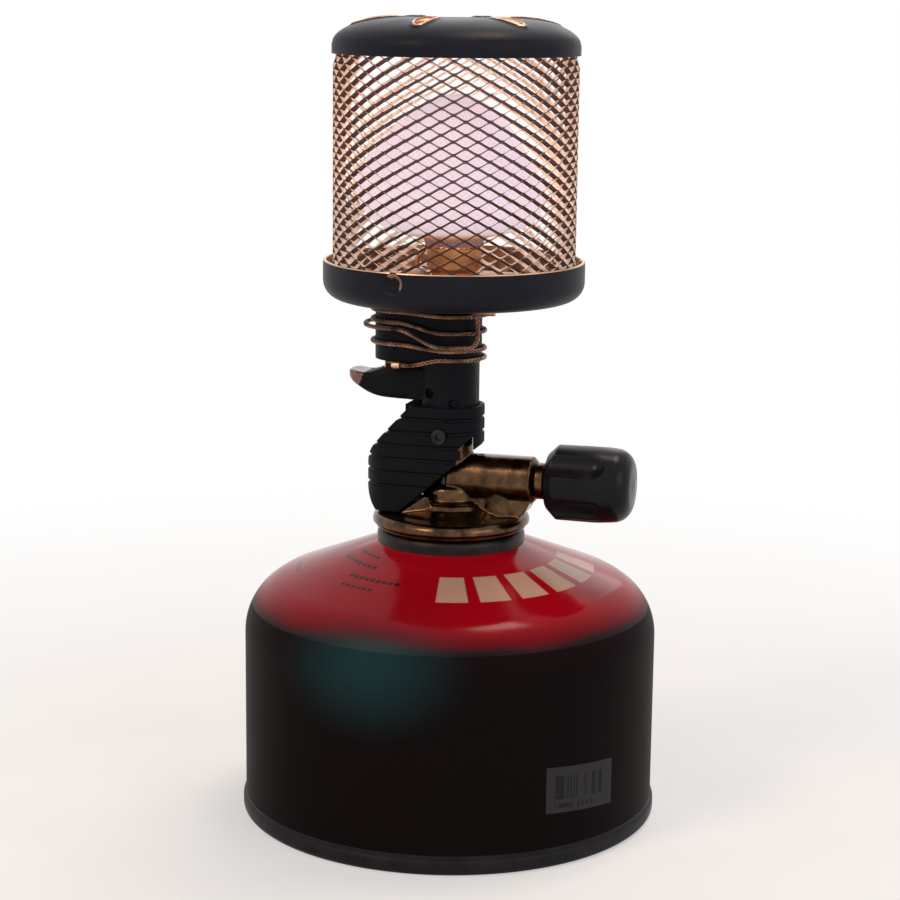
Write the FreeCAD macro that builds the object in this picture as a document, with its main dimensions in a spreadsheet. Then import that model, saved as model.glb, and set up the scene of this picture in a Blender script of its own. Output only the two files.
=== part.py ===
import FreeCAD
import Part
import math
import os

import Sketcher

# Compact gas lantern: a burner head with an incandescent mantle, a mesh globe and a built-in igniter,
# screwed onto a small gas cartridge. Millimetres, +Z up. The origin is the middle of the cartridge's
# standing ring, and the valve barrel with its knob points along +X, the igniter lever along -X.

SIZES = {
    # Cartridge
    "can_radius": 45.0,
    "can_wall": 0.4,
    "shoulder_start": 40.1,
    "shoulder_radius": 13.0,
    "cone_angle": 21.3,
    "mouth_radius": 12.75,
    "seam_lip": 0.6,
    "seam_height": 4.2,
    "seam_depth": 1.8,
    "dome_rise": 6.5,
    "curl_radius": 1.6,
    "curl_middle": 14.5,
    "curl_rise": 2.4,
    "cup_wall": 0.5,
    "cup_depth": 8.0,
    "nipple_radius": 5.55,
    "nipple_wall": 0.6,
    "nipple_rise": 1.6,
    "nipple_mouth": 3.0,
    "valve_gasket": 1.5,
    "valve_stem_radius": 2.2,
    "valve_stem_sunk": 1.7,
    "valve_stroke": 1.25,
    "valve_housing_depth": 14.0,
    # Valve body
    "thread_clearance": 0.05,
    "flange_gap": 0.15,
    "flange_radius": 17.1,
    "flange_height": 3.3,
    "hub_radius": 10.3,
    "hub_depth": 7.0,
    "seal_height": 1.4,
    "axis_rise": 7.75,
    "turret_radius": 6.2,
    "barrel_radius": 5.15,
    "barrel_end": 19.3,
    "web_thickness": 7.0,
    "boss_rise": 13.0,
    "boss_radius": 4.6,
    "jet_radius": 2.0,
    "jet_rise": 1.3,
    "gas_way_radius": 0.9,
    # Spindle and knob
    "seat_x": 5.0,
    "spindle_open": 0.375,
    "spindle_radius": 2.6,
    "shaft_radius": 2.0,
    "running_gap": 0.05,
    "seal_x": 14.2,
    "seal_cord": 0.95,
    "gland_radius": 3.95,
    "gland_length": 1.9,
    "knob_gap": 0.5,
    "shaft_reach": 14.0,
    "knob_length": 18.8,
    "knob_radius": 8.4,
    "knob_core": 5.8,
    "knob_nose": 4.4,
    "knob_turn": 8.0,
    # Igniter housing
    "grip_rise": 15.9,
    "grip_wall": 1.3,
    "grip_half_depth": 7.4,
    "grip_right": 7.0,
    "belly_radius": 10.6,
    "belly_x": -8.1,
    "belly_slope": 47.0,
    "rib_pitch": 3.0,
    "rib_groove": 0.8,
    "rib_depth": 0.45,
    "screw_radius": 1.25,
    "screw_head": 1.65,
    "screw_rise": 9.7,
    "neck_x": -0.6,
    "neck_radius": 6.2,
    "neck_flat": 0.6,
    "neck_wall": 1.0,
    "neck_insert": 3.3,
    "neck_length": 9.4,
    "spool_height": 13.5,
    "spool_half_depth": 6.6,
    "spool_right": -0.4,
    "spool_left": -10.6,
    "spool_wall": 1.3,
    "air_hole_radius": 1.1,
    # Igniter lever and piezo
    "pivot_x": 1.8,
    "pivot_drop": -0.8,
    "pivot_radius": 1.0,
    "lever_half_width": 4.0,
    "lever_reach": 25.2,
    "fork_thickness": 0.7,
    "piezo_x": -9.9,
    "piezo_half": 3.4,
    "piezo_foot": 4.0,
    "piezo_height": 11.5,
    "plunger_radius": 1.6,
    "plunger_top": 12.5,
    "lead_diameter": 1.2,
    # Burner
    "tube_radius": 3.0,
    "tube_wall": 0.6,
    "pan_gap": 2.55,
    "pan_wall": 0.8,
    "pan_depth": 8.4,
    "pan_corner": 4.0,
    "dimple_radius": 2.4,
    "dimple_angle": 18.3,
    "vent_ring": 17.5,
    "vent_radius": 2.0,
    "nut_across": 10.0,
    "nut_height": 2.4,
    "burner_radius": 5.8,
    "burner_height": 10.9,
    "mantle_radius": 20.6,
    "mantle_taper": 1.8,
    "mantle_height": 32.7,
    "mantle_drop": 1.28,
    "mantle_foot_round": 7.0,
    "mantle_crown_round": 13.5,
    "mantle_wall": 0.5,
    "electrode_x": -8.2,
    "insulator_radius": 2.0,
    "insulator_rise": 5.4,
    "electrode_radius": 0.6,
    # Globe
    "mesh_radius": 25.45,
    "mesh_wall": 0.5,
    "mesh_lift": 0.9,
    "mesh_height": 51.7,
    "mesh_columns": 16,
    "mesh_rows": 9,
    "mesh_strand": 0.42,
    "mesh_hem": 1.2,
    "cap_radius": 26.2,
    "cap_wall": 0.65,
    "cap_height": 7.5,
    "cap_corner": 5.6,
    "petal_inner": 12.2,
    "petal_outer": 21.9,
    "petal_width": 4.2,
    "petal_angle": 23.0,
    # Hanging wire
    "wire_diameter": 1.05,
    "wire_clearance": 0.07,
    "wire_layer": 1.55,
    "wire_bend": 2.0,
    "ferrule_radius": 0.8,
}

ZERO = 1e-9
KNOB_RIBS = 5
PETALS = 6
DIMPLES = 3
VENTS = 8
BURNER_PORTS = 6
DOME_STEPS = (0.35, 0.7, 1.0)
LARGE_ROUNDING = 2.5
# Shares of first tangent point, corner and second one, for a point at a third of a square corner's arc
FLAT_SHARES = (0.5, 0.366, 0.134)

doc = FreeCAD.newDocument("gas_lantern")
sheet = doc.addObject("Spreadsheet::Sheet", "Sizes")
for row, (alias, number) in enumerate(SIZES.items(), start=1):
    sheet.set(f"A{row}", alias)
    sheet.set(f"B{row}", repr(number))
    sheet.setAlias(f"B{row}", alias)
doc.recompute()


class Size:
    """A length or angle that holds its number and the sheet expression that it comes from."""

    def __init__(self, value, text=None):
        self.value = float(value)
        self.text = text or repr(round(float(value), 6))

    def __add__(self, other):
        other = as_size(other)
        return Size(self.value + other.value, f"({self.text} + {other.text})")

    def __sub__(self, other):
        other = as_size(other)
        return Size(self.value - other.value, f"({self.text} - {other.text})")

    def __mul__(self, other):
        other = as_size(other)
        return Size(self.value * other.value, f"({self.text} * {other.text})")

    def __truediv__(self, other):
        other = as_size(other)
        return Size(self.value / other.value, f"({self.text} / {other.text})")

    def __radd__(self, other):
        return as_size(other) + self

    def __rsub__(self, other):
        return as_size(other) - self

    def __rmul__(self, other):
        return as_size(other) * self

    def __rtruediv__(self, other):
        return as_size(other) / self

    def __neg__(self):
        return Size(-self.value, f"(0 - {self.text})")


def as_size(number):
    """Plain numbers become sizes, so that both can stand in one formula."""
    if isinstance(number, Size):
        return number
    return Size(number)


def root(number):
    return Size(math.sqrt(number.value), f"sqrt({number.text})")


def sine(angle):
    angle = as_size(angle)
    return Size(math.sin(math.radians(angle.value)), f"sin({angle.text})")


def cosine(angle):
    angle = as_size(angle)
    return Size(math.cos(math.radians(angle.value)), f"cos({angle.text})")


def tangent(angle):
    angle = as_size(angle)
    return Size(math.tan(math.radians(angle.value)), f"tan({angle.text})")


class Dimensions:
    """Gives each cell of the sheet by its alias, as a Size."""

    def __getattr__(self, alias):
        return Size(SIZES[alias], f"Sizes.{alias}")


d = Dimensions()


def bind(thing, prop, amount):
    """Ties one property of a document object to the sheet."""
    thing.setExpression(prop, as_size(amount).text)


def vector(x=0.0, y=0.0, z=0.0):
    return FreeCAD.Vector(as_size(x).value, as_size(y).value, as_size(z).value)


def place(thing, x=0.0, y=0.0, z=0.0, axis=(0, 0, 1), angle=0.0):
    """Turns a thing by an angle about an axis, then moves it, with every number tied to the sheet."""
    turn = FreeCAD.Rotation(FreeCAD.Vector(*axis), as_size(angle).value)
    thing.Placement = FreeCAD.Placement(vector(x, y, z), turn)
    for letter, amount in (("x", x), ("y", y), ("z", z)):
        bind(thing, f"Placement.Base.{letter}", amount)
    if isinstance(angle, Size):
        bind(thing, "Placement.Rotation.Angle", angle)
    return thing


AXIS_TURNS = {"X": ((0, 1, 0), 90.0), "Y": ((1, 0, 0), -90.0), "Z": ((0, 0, 1), 0.0)}


def rod(radius, length, x=0.0, y=0.0, z=0.0, along="Z"):
    """A round rod that starts at a point and runs along one axis."""
    thing = doc.addObject("Part::Cylinder", "rod")
    bind(thing, "Radius", radius)
    bind(thing, "Height", length)
    axis, angle = AXIS_TURNS[along]
    return place(thing, x, y, z, axis, angle)


def block(low, high):
    """A box between two corners."""
    thing = doc.addObject("Part::Box", "block")
    spans = [as_size(top) - bottom for bottom, top in zip(low, high)]
    for prop, span in zip(("Length", "Width", "Height"), spans):
        bind(thing, prop, span)
    return place(thing, *low)


def ball(radius, x, y, z):
    thing = doc.addObject("Part::Sphere", "ball")
    bind(thing, "Radius", radius)
    return place(thing, x, y, z)


def fuse(*things):
    joined = doc.addObject("Part::MultiFuse", "joined")
    joined.Shapes = list(things)
    return joined


def common(first, second):
    shared = doc.addObject("Part::Common", "shared")
    shared.Base = first
    shared.Tool = second
    return shared


def cut(base, *tools):
    """The base without the tools."""
    rest = doc.addObject("Part::Cut", "rest")
    rest.Base = base
    rest.Tool = tools[0] if len(tools) == 1 else fuse(*tools)
    return rest


def round_corner(before, corner, after, radius):
    """The two tangent points of a rounded corner between straight lines."""
    ends = []
    for other in (before, after):
        run = [as_size(other[0]) - corner[0], as_size(other[1]) - corner[1]]
        length = root(run[0] * run[0] + run[1] * run[1])
        ends.append([run[0] / length, run[1] / length])
    spread = ends[0][0] * ends[1][0] + ends[0][1] * ends[1][1]
    reach = as_size(radius) * root((1 + spread) / (1 - spread))
    return [(corner[0] + end[0] * reach, corner[1] + end[1] * reach) for end in ends]


def trace(outline):
    """Turns an outline into straight and arc steps.

    An outline's item is (x, y), a corner; (x, y, radius), a rounded corner; (x, y, radius, side), the
    end of an arc that starts at the item before it and turns left (side 1) or right (side -1); or
    (x, y, radius, 0), a corner eased by flats that follow such a rounding.
    """
    steps = []
    for index, item in enumerate(outline):
        if len(item) == 3:
            before = outline[index - 1]
            after = outline[(index + 1) % len(outline)]
            first, second = round_corner(before, item, after, item[2])
            cross = turn_side(before, item, after)
            steps.append((first, None, 0))
            steps.append((second, item[2], cross))
        elif len(item) == 4 and item[3] == 0:
            before = outline[index - 1]
            after = outline[(index + 1) % len(outline)]
            steps += [(point, None, 0) for point in flats(before, item, after, item[2])]
        elif len(item) == 4:
            steps.append(((item[0], item[1]), item[2], item[3]))
        else:
            steps.append(((item[0], item[1]), None, 0))
    return steps


def flats(before, corner, after, radius):
    """A corner eased by one flat, or by three that meet on the rounding where it is a large one."""
    first, second = round_corner(before, corner, after, radius)
    if as_size(radius).value < LARGE_ROUNDING:
        return [first, second]
    points = [first]
    for near, middle, far in (FLAT_SHARES, FLAT_SHARES[::-1]):
        point = [first[axis] * near + corner[axis] * middle + second[axis] * far for axis in (0, 1)]
        points.append(tuple(point))
    return points + [second]


def turn_side(before, corner, after):
    """1 where the outline turns left at a corner, -1 where it turns right."""
    first = vector(*corner[:2]) - vector(*before[:2])
    second = vector(*after[:2]) - vector(*corner[:2])
    return 1 if first.x * second.y - first.y * second.x > 0 else -1


def arc_between(start, end, radius, side):
    """The short arc of a given radius from start to end that turns to a given side."""
    middle = (start + end) * 0.5
    half = (end - start) * 0.5
    rise = math.sqrt(max(radius**2 - half.Length**2, 0.0))
    across = FreeCAD.Vector(-half.y, half.x, 0.0).normalize()
    centre = middle + across * rise * side
    first, last = (start, end) if side > 0 else (end, start)
    begin = math.atan2(first.y - centre.y, first.x - centre.x)
    finish = math.atan2(last.y - centre.y, last.x - centre.x)
    if finish <= begin:
        finish += 2 * math.pi
    return Part.ArcOfCircle(Part.Circle(centre, FreeCAD.Vector(0, 0, 1), radius), begin, finish)


def held(item, end, letter, amount):
    """The rule that holds one coordinate of a sketch point, with the size that drives it."""
    amount = as_size(amount)
    if abs(amount.value) < ZERO:
        return Sketcher.Constraint("PointOnObject", item, end, -2 if letter == "X" else -1), None
    return Sketcher.Constraint(f"Distance{letter}", item, end, amount.value), amount


def rounding_rule(item, start, end, radius):
    """Holds an arc by its radius, or a half circle by its middle, because its ends fix its radius."""
    radius = as_size(radius)
    spans = [as_size(end[axis]) - start[axis] for axis in (0, 1)]
    if math.hypot(spans[0].value, spans[1].value) < 2 * radius.value - 1e-6:
        return Sketcher.Constraint("Radius", item, radius.value), radius
    axis = 1 if abs(spans[0].value) > abs(spans[1].value) else 0
    return held(item, 3, "XY"[axis], (as_size(end[axis]) + start[axis]) / 2)


def draw(body, plane, outline):
    """A closed sketch on one of the body's origin planes, with every corner tied to the sheet."""
    sketch = body.newObject("Sketcher::SketchObject", "outline")
    roles = {feature.Role: feature for feature in body.Origin.OriginFeatures}
    sketch.AttachmentSupport = (roles[f"{plane}_Plane"], "")
    sketch.MapMode = "FlatFace"
    steps = trace(outline)
    lines = []
    rules = []
    for index, (point, radius, side) in enumerate(steps):
        start = vector(*steps[index - 1][0])
        end = vector(*point)
        following = (index + 1) % len(steps)
        last = 1 if side < 0 else 2
        first = 2 if steps[following][2] < 0 else 1
        rules.append((Sketcher.Constraint("Coincident", index, last, following, first), None))
        rules.append(held(index, last, "X", point[0]))
        rules.append(held(index, last, "Y", point[1]))
        if radius is None:
            lines.append(Part.LineSegment(start, end))
            continue
        lines.append(arc_between(start, end, as_size(radius).value, side))
        rules.append(rounding_rule(index, steps[index - 1][0], point, radius))
    sketch.addGeometry(lines, False)
    sketch.addConstraint([rule for rule, _ in rules])
    for number, (_, amount) in enumerate(rules):
        if amount is not None:
            bind(sketch, f"Constraints[{number}]", amount)
    return sketch


def new_body():
    return doc.addObject("PartDesign::Body", "body")


def turned(outline, about="Z", body=None):
    """A body turned about Z from an outline of (radius, height), or about X from (x, radius)."""
    body = body or new_body()
    sketch = draw(body, "XZ", outline)
    feature = body.newObject("PartDesign::Revolution", "turned")
    feature.Profile = sketch
    feature.ReferenceAxis = (sketch, ["V_Axis" if about == "Z" else "H_Axis"])
    feature.Angle = 360.0
    return body


def slab(plane, outline, thickness, middle=False):
    """An outline given a thickness: up from XY, or on both sides of XZ."""
    body = new_body()
    feature = body.newObject("PartDesign::Pad", "slab")
    feature.Profile = draw(body, plane, outline)
    bind(feature, "Length", thickness)
    feature.Midplane = middle
    return body


def pierce(body, outline):
    """Cuts an outline drawn on the body's XY plane up through the body."""
    feature = body.newObject("PartDesign::Pocket", "pierced")
    feature.Profile = draw(body, "XY", outline)
    feature.Type = "ThroughAll"
    feature.Reversed = True
    return feature


def around(body, feature, count):
    """Repeats a feature evenly round Z."""
    roles = {item.Role: item for item in body.Origin.OriginFeatures}
    pattern = body.newObject("PartDesign::PolarPattern", "around")
    pattern.Originals = [feature]
    pattern.Axis = (roles["Z_Axis"], [""])
    pattern.Angle = 360.0
    pattern.Occurrences = count
    body.Tip = pattern
    return pattern


def long_round(left, right, radius):
    """An outline of two half circles on the X axis joined by straight sides."""
    return [
        (right, -radius),
        (right, radius, radius, 1),
        (left, radius),
        (left, -radius, radius, 1),
    ]


def node(name, thing):
    """Names a sub-part; its label is its file's name."""
    thing.Label = name
    nodes[name] = thing
    return thing


def shaped(name, shape):
    """A sub-part whose shape is worked out here, because no feature makes it."""
    thing = doc.addObject("Part::Feature", "worked")
    thing.Shape = shape
    return node(name, thing)


nodes = {}

# Heights that everything else hangs from
cone_top_radius = d.can_radius - d.shoulder_radius * (1 - sine(d.cone_angle))
cone_start = d.shoulder_start + d.shoulder_radius * cosine(d.cone_angle)


def cone_height(radius):
    """Height of the can's outer cone at a radius."""
    return cone_start + (cone_top_radius - radius) * tangent(d.cone_angle)


curl_height = cone_height(d.curl_middle) + d.curl_rise - d.curl_radius
cup_top = curl_height + d.curl_radius
cup_floor = cup_top - d.cup_depth
nipple_top = cup_top + d.nipple_rise
flange_bottom = cup_top + d.flange_gap
flange_top = flange_bottom + d.flange_height
axis_z = flange_top + d.axis_rise
boss_top = axis_z + d.boss_rise
grip_top = axis_z + d.grip_rise
spool_bottom = grip_top + d.neck_length
pan_bottom = spool_bottom + d.spool_height
pan_floor = pan_bottom + d.pan_wall
pan_rim = pan_bottom + d.pan_depth
mesh_bottom = pan_floor + d.mesh_lift
mesh_top = mesh_bottom + d.mesh_height
cap_top = mesh_top + d.cap_corner
cap_bottom = cap_top - d.cap_height
burner_bottom = pan_floor + d.nut_height + 0.1
burner_top = burner_bottom + d.burner_height
mantle_top = burner_top - d.mantle_drop + d.mantle_height


def cartridge_shell():
    """Side wall, shoulder arc and cone of one even wall, open at the mouth and at the foot."""
    inner_arc = d.shoulder_radius - d.can_wall
    wall_rise = d.can_wall / cosine(d.cone_angle)
    inner_cone = (
        cone_top_radius - d.can_wall * sine(d.cone_angle),
        cone_start - d.can_wall * cosine(d.cone_angle),
    )
    mouth = cone_height(d.mouth_radius + d.cup_wall)
    foot = d.seam_height
    inner_bend = []
    for share in (2, 1):
        angle = (90.0 - d.cone_angle) * share / 3
        radius = d.can_radius - d.shoulder_radius + inner_arc * cosine(angle)
        inner_bend.append((radius, d.shoulder_start + inner_arc * sine(angle)))
    node(
        "cartridge_shell",
        turned(
            [
                (d.can_radius, foot),
                (d.can_radius, d.shoulder_start),
                (cone_top_radius, cone_start, d.shoulder_radius, 1),
                (d.mouth_radius + d.cup_wall, mouth),
                (d.mouth_radius + d.cup_wall, mouth - wall_rise),
                inner_cone,
                *inner_bend,
                (d.can_radius - d.can_wall, d.shoulder_start),
                (d.can_radius - d.can_wall, foot),
            ]
        ),
    )


def cartridge_base():
    """Double seam that the can stands on, with the base domed up inside it in coned steps."""
    outer = d.can_radius + d.seam_lip
    inner = d.can_radius - d.seam_depth
    dome_edge = inner - 1.0
    under = []
    for share in DOME_STEPS:
        under.append((dome_edge * share, 2.0 - d.cup_wall + d.dome_rise * (1 - share * share)))
    over = [(radius, height + d.cup_wall) for radius, height in under]
    top = d.dome_rise + 2.0
    node(
        "cartridge_base",
        turned(
            [
                (0.0, top - d.cup_wall),
                *under,
                (inner, 0.0, 0.5, 0),
                (outer, 0.0, 1.0, 0),
                (outer, d.seam_height, 0.6, 0),
                (inner, d.seam_height),
                (inner, 2.6),
                *over[::-1],
                (0.0, top),
            ]
        ),
    )


def valve_cup():
    """Rolled rim on the cone, recessed cup and the threaded nipple that the lantern screws onto."""
    rim_out = d.curl_middle + d.curl_radius
    wall_in = d.mouth_radius - d.cup_wall
    bore = d.nipple_radius - d.nipple_wall
    floor_low = cup_floor - d.cup_wall
    node(
        "valve_cup",
        turned(
            [
                (rim_out, cone_height(rim_out)),
                (rim_out, cup_top, d.curl_radius),
                (wall_in, cup_top, d.curl_radius, 0),
                (wall_in, cup_floor, 1.2, 0),
                (d.nipple_radius, cup_floor),
                (d.nipple_radius, nipple_top, 0.5, 0),
                (d.nipple_mouth, nipple_top),
                (d.nipple_mouth, nipple_top - d.nipple_wall),
                (bore, nipple_top - d.nipple_wall),
                (bore, floor_low),
                (d.mouth_radius, floor_low, 1.5, 0),
                (d.mouth_radius, cone_height(d.mouth_radius)),
            ]
        ),
    )


def cartridge_valve():
    """Gasket, stem, spring and housing crimped inside the nipple, shown pushed open."""
    bore = d.nipple_radius - d.nipple_wall
    under_top = nipple_top - d.nipple_wall
    gasket_low = under_top - d.valve_gasket
    stem_top = nipple_top - d.valve_stem_sunk
    collar_top = gasket_low - d.valve_stroke - d.running_gap
    collar_low = collar_top - 2.4
    floor_top = nipple_top - d.valve_housing_depth
    collar_radius = d.valve_stem_radius + 1.5
    outer = bore - 0.02
    inner = collar_radius + 0.3
    node(
        "cartridge_gasket",
        turned(
            [
                (d.valve_stem_radius + 0.1, gasket_low),
                (outer, gasket_low),
                (outer, under_top),
                (d.valve_stem_radius + 0.1, under_top),
            ]
        ),
    )
    node(
        "cartridge_valve_stem",
        turned(
            [
                (0.0, collar_low - 2.6),
                (1.5, collar_low - 2.6),
                (1.5, collar_low),
                (collar_radius, collar_low),
                (collar_radius, collar_top, 0.3, 0),
                (d.valve_stem_radius, collar_top),
                (d.valve_stem_radius, stem_top, 0.4, 0),
                (0.0, stem_top),
            ]
        ),
    )
    node(
        "cartridge_valve_housing",
        turned(
            [
                (1.2, floor_top - 1.0),
                (outer, floor_top - 1.0, 0.6, 0),
                (outer, gasket_low),
                (inner, gasket_low),
                (inner, floor_top),
                (1.2, floor_top),
            ]
        ),
    )
    spring_wire = 0.25
    shaped(
        "cartridge_valve_spring",
        coil_spring(2.6, spring_wire, floor_top.value + spring_wire, collar_low.value - spring_wire, 4),
    )


def coil_spring(radius, wire, low, high, turns):
    """An open coil of quarter arcs, each rising by a quarter of the pitch, with a square wire."""
    quarters = 4 * turns
    rise = (high - low) / quarters
    edges = []
    for index in range(quarters):
        points = []
        for part in (0.0, 0.5, 1.0):
            angle = math.pi / 2 * (index + part)
            height = low + rise * (index + part)
            points.append(vector(radius * math.cos(angle), radius * math.sin(angle), height))
        edges.append(Part.Arc(*points).toShape())
    spine = Part.Wire(edges)
    return swept(spine, wire, 4)


def swept(spine, radius, sides):
    """A tube with a many-sided section along a wire, in the pipe shell's default mode."""
    first = spine.OrderedEdges[0]
    start = first.valueAt(first.FirstParameter)
    heading = first.tangentAt(first.FirstParameter)
    if (start - spine.OrderedVertexes[0].Point).Length > 1e-6:
        start = first.valueAt(first.LastParameter)
        heading = first.tangentAt(first.LastParameter) * -1
    side = heading.cross(FreeCAD.Vector(0, 0, 1))
    if side.Length < 0.1:
        side = heading.cross(FreeCAD.Vector(1, 0, 0))
    side.normalize()
    up = heading.cross(side).normalize()
    ring = []
    for index in range(sides):
        angle = 2 * math.pi * (index + 0.5) / sides
        ring.append(start + side * radius * math.cos(angle) + up * radius * math.sin(angle))
    section = Part.makePolygon(ring + ring[:1])
    return spine.makePipeShell([section], True, False)


def valve_body():
    """Brass casting: hub on the nipple, rounded flange, stepped turret, barrel with web, upright boss."""
    bore = d.nipple_radius + d.thread_clearance
    socket_top = nipple_top + d.seal_height
    hub_low = flange_bottom - d.hub_depth
    lip = d.flange_radius - 0.8
    stem = turned(
        [
            (0.0, socket_top),
            (bore, socket_top),
            (bore, hub_low),
            (d.hub_radius, hub_low, 0.6, 0),
            (d.hub_radius, flange_bottom),
            (lip, flange_bottom),
            (lip, flange_bottom + 0.8),
            (d.flange_radius, flange_bottom + 1.1),
            (d.flange_radius, flange_top, 1.7),
            (d.turret_radius + 6.4, flange_top, 0.8, 0),
            (d.turret_radius + 1.6, flange_top + 1.5, 1.2, 0),
            (d.turret_radius + 1.6, flange_top + 2.8, 0.9, 0),
            (d.turret_radius, flange_top + 2.9),
            (d.turret_radius, axis_z - 1.6, 1.4),
            (d.boss_radius, axis_z - 1.6),
            (d.boss_radius, boss_top, 0.5, 0),
            (0.0, boss_top),
        ]
    )
    barrel = turned(
        [
            (0.0, 0.0),
            (d.barrel_end, 0.0),
            (d.barrel_end, d.gland_radius),
            (d.barrel_end - 1.1, d.barrel_radius),
            (0.0, d.barrel_radius),
        ],
        about="X",
    )
    place(barrel, z=axis_z)
    web = slab(
        "XZ",
        [
            (3.0, axis_z),
            (d.barrel_end - 1.3, axis_z),
            (d.barrel_end - 1.1, axis_z - 4.6, 1.5),
            (d.barrel_end - 2.3, axis_z - 7.0, 2.0),
            (d.flange_radius - 1.9, flange_top - 0.4),
            (3.0, flange_top - 0.4),
        ],
        d.web_thickness,
        middle=True,
    )
    pad = rod(d.web_thickness / 2 + 0.9, axis_z - flange_top + 0.5, x=11.0, z=flange_top - 0.5)
    fins = [saddle_fin(side) for side in (-1, 1)]
    casting = fuse(stem, barrel, web, pad, *fins)
    chamber = d.spindle_radius + d.running_gap
    gas_ways = [
        rod(d.gas_way_radius, axis_z - socket_top, z=socket_top),
        rod(d.gas_way_radius, d.seat_x + 0.5, z=axis_z, along="X"),
        rod(chamber, d.barrel_end, x=d.seat_x + 0.1, z=axis_z, along="X"),
        rod(d.gas_way_radius, boss_top - axis_z + 1.0, x=1.2, z=axis_z + 3.2),
        rod(d.gas_way_radius, d.seat_x + 2.0, x=0.9, z=axis_z + 4.0, along="X"),
        rod(d.gas_way_radius, 5.0, x=d.seat_x + 1.8, z=axis_z),
        rod(d.jet_radius, boss_top, z=boss_top - 2.4),
    ]
    pin_hole = rod(1.2, 2.0, z=socket_top - 0.1)
    gland_seat = rod(3.4, 4.0, x=d.barrel_end - 2.4, z=axis_z, along="X")
    screw_holes = [
        rod(d.screw_radius, 3.0, x=-1.1, y=side * 1.6 - 1.5, z=axis_z + d.screw_rise, along="Y")
        for side in (-2, 2)
    ]
    node("valve_body", cut(casting, *gas_ways, pin_hole, gland_seat, *screw_holes))


def saddle_fin(side):
    """Sloping fin on the flange that the grip's lower edge sits against."""
    fin = slab(
        "XZ",
        [
            (-11.2, flange_top - 0.5),
            (-10.2, flange_top - 0.3),
            (-3.4, flange_top + 4.6, 0.7),
            (-1.6, flange_top - 0.5),
        ],
        1.6,
        middle=True,
    )
    return place(fin, y=side * (d.grip_half_depth - 0.6))


def gas_inlet():
    """Rubber seal on the nipple and the pin that pushes the cartridge valve open."""
    socket_top = nipple_top + d.seal_height
    node(
        "inlet_seal",
        turned(
            [
                (1.9, nipple_top),
                (d.nipple_radius - 0.2, nipple_top),
                (d.nipple_radius - 0.2, socket_top - 0.02),
                (1.9, socket_top - 0.02),
            ]
        ),
    )
    tip = nipple_top - d.valve_stem_sunk + 0.02
    node(
        "inlet_pin",
        turned(
            [
                (0.5, tip + 1.2),
                (1.18, tip),
                (1.18, socket_top + 1.8),
                (0.5, socket_top + 1.8),
            ]
        ),
    )


def jet():
    """Round jet with a fine hole, screwed into the boss."""
    low = boss_top - 2.4
    top = boss_top + d.jet_rise
    node(
        "jet",
        turned(
            [
                (0.6, low),
                (d.jet_radius - 0.02, low),
                (d.jet_radius - 0.02, boss_top),
                (d.jet_radius - 0.5, boss_top + 0.2),
                (d.jet_radius - 0.5, top, 0.3, 0),
                (0.25, top),
                (0.25, top - 0.8),
                (0.6, top - 1.1),
            ]
        ),
    )


def spindle_parts():
    """Needle spindle, its O-ring and the gland bush that closes the barrel."""
    tip = d.seat_x - 0.5 + d.spindle_open
    groove = 1.9
    seal_middle = d.seal_x + 0.7 + d.spindle_open
    gland_face = d.barrel_end + d.gland_length
    shaft_end = gland_face + d.knob_gap + d.shaft_reach
    land_start = d.seat_x + 4.2
    land_end = d.seal_x + 1.6 + d.spindle_open
    spindle = turned(
        [
            (tip, 0.0),
            (tip, 0.5),
            (tip + 2.4, d.shaft_radius),
            (land_start, d.shaft_radius),
            (land_start + 0.4, d.spindle_radius),
            (seal_middle - 0.6, d.spindle_radius),
            (seal_middle - 0.6, groove - 0.3),
            (seal_middle + 0.6, groove - 0.3),
            (seal_middle + 0.6, d.spindle_radius),
            (land_end, d.spindle_radius),
            (land_end, d.shaft_radius),
            (shaft_end, d.shaft_radius, 0.3, 0),
            (shaft_end, 0.0),
        ],
        about="X",
    )
    flat = block(
        (gland_face + d.knob_gap + 2.0, -d.shaft_radius, axis_z + d.shaft_radius - 0.5),
        (shaft_end + 1.0, d.shaft_radius, axis_z + d.shaft_radius + 1.0),
    )
    node("valve_spindle", cut(place(spindle, z=axis_z), flat))
    half = d.seal_cord / 2
    ring_in = groove - 0.3 + 0.02
    ring_out = d.spindle_radius + 0.03
    seal = turned(
        [
            (seal_middle - half, ring_in, 0.25, 0),
            (seal_middle + half, ring_in, 0.25, 0),
            (seal_middle + half, ring_out, 0.25, 0),
            (seal_middle - half, ring_out, 0.25, 0),
        ],
        about="X",
    )
    node("spindle_seal", place(seal, z=axis_z))
    gland = turned(
        [
            (d.barrel_end - 2.38, d.shaft_radius + d.running_gap),
            (d.barrel_end - 2.38, 3.38),
            (d.barrel_end, 3.38),
            (d.barrel_end, d.gland_radius),
            (gland_face, d.gland_radius, 0.3, 0),
            (gland_face, d.shaft_radius + d.running_gap),
        ],
        about="X",
    )
    node("gland_bush", place(gland, z=axis_z))


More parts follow.
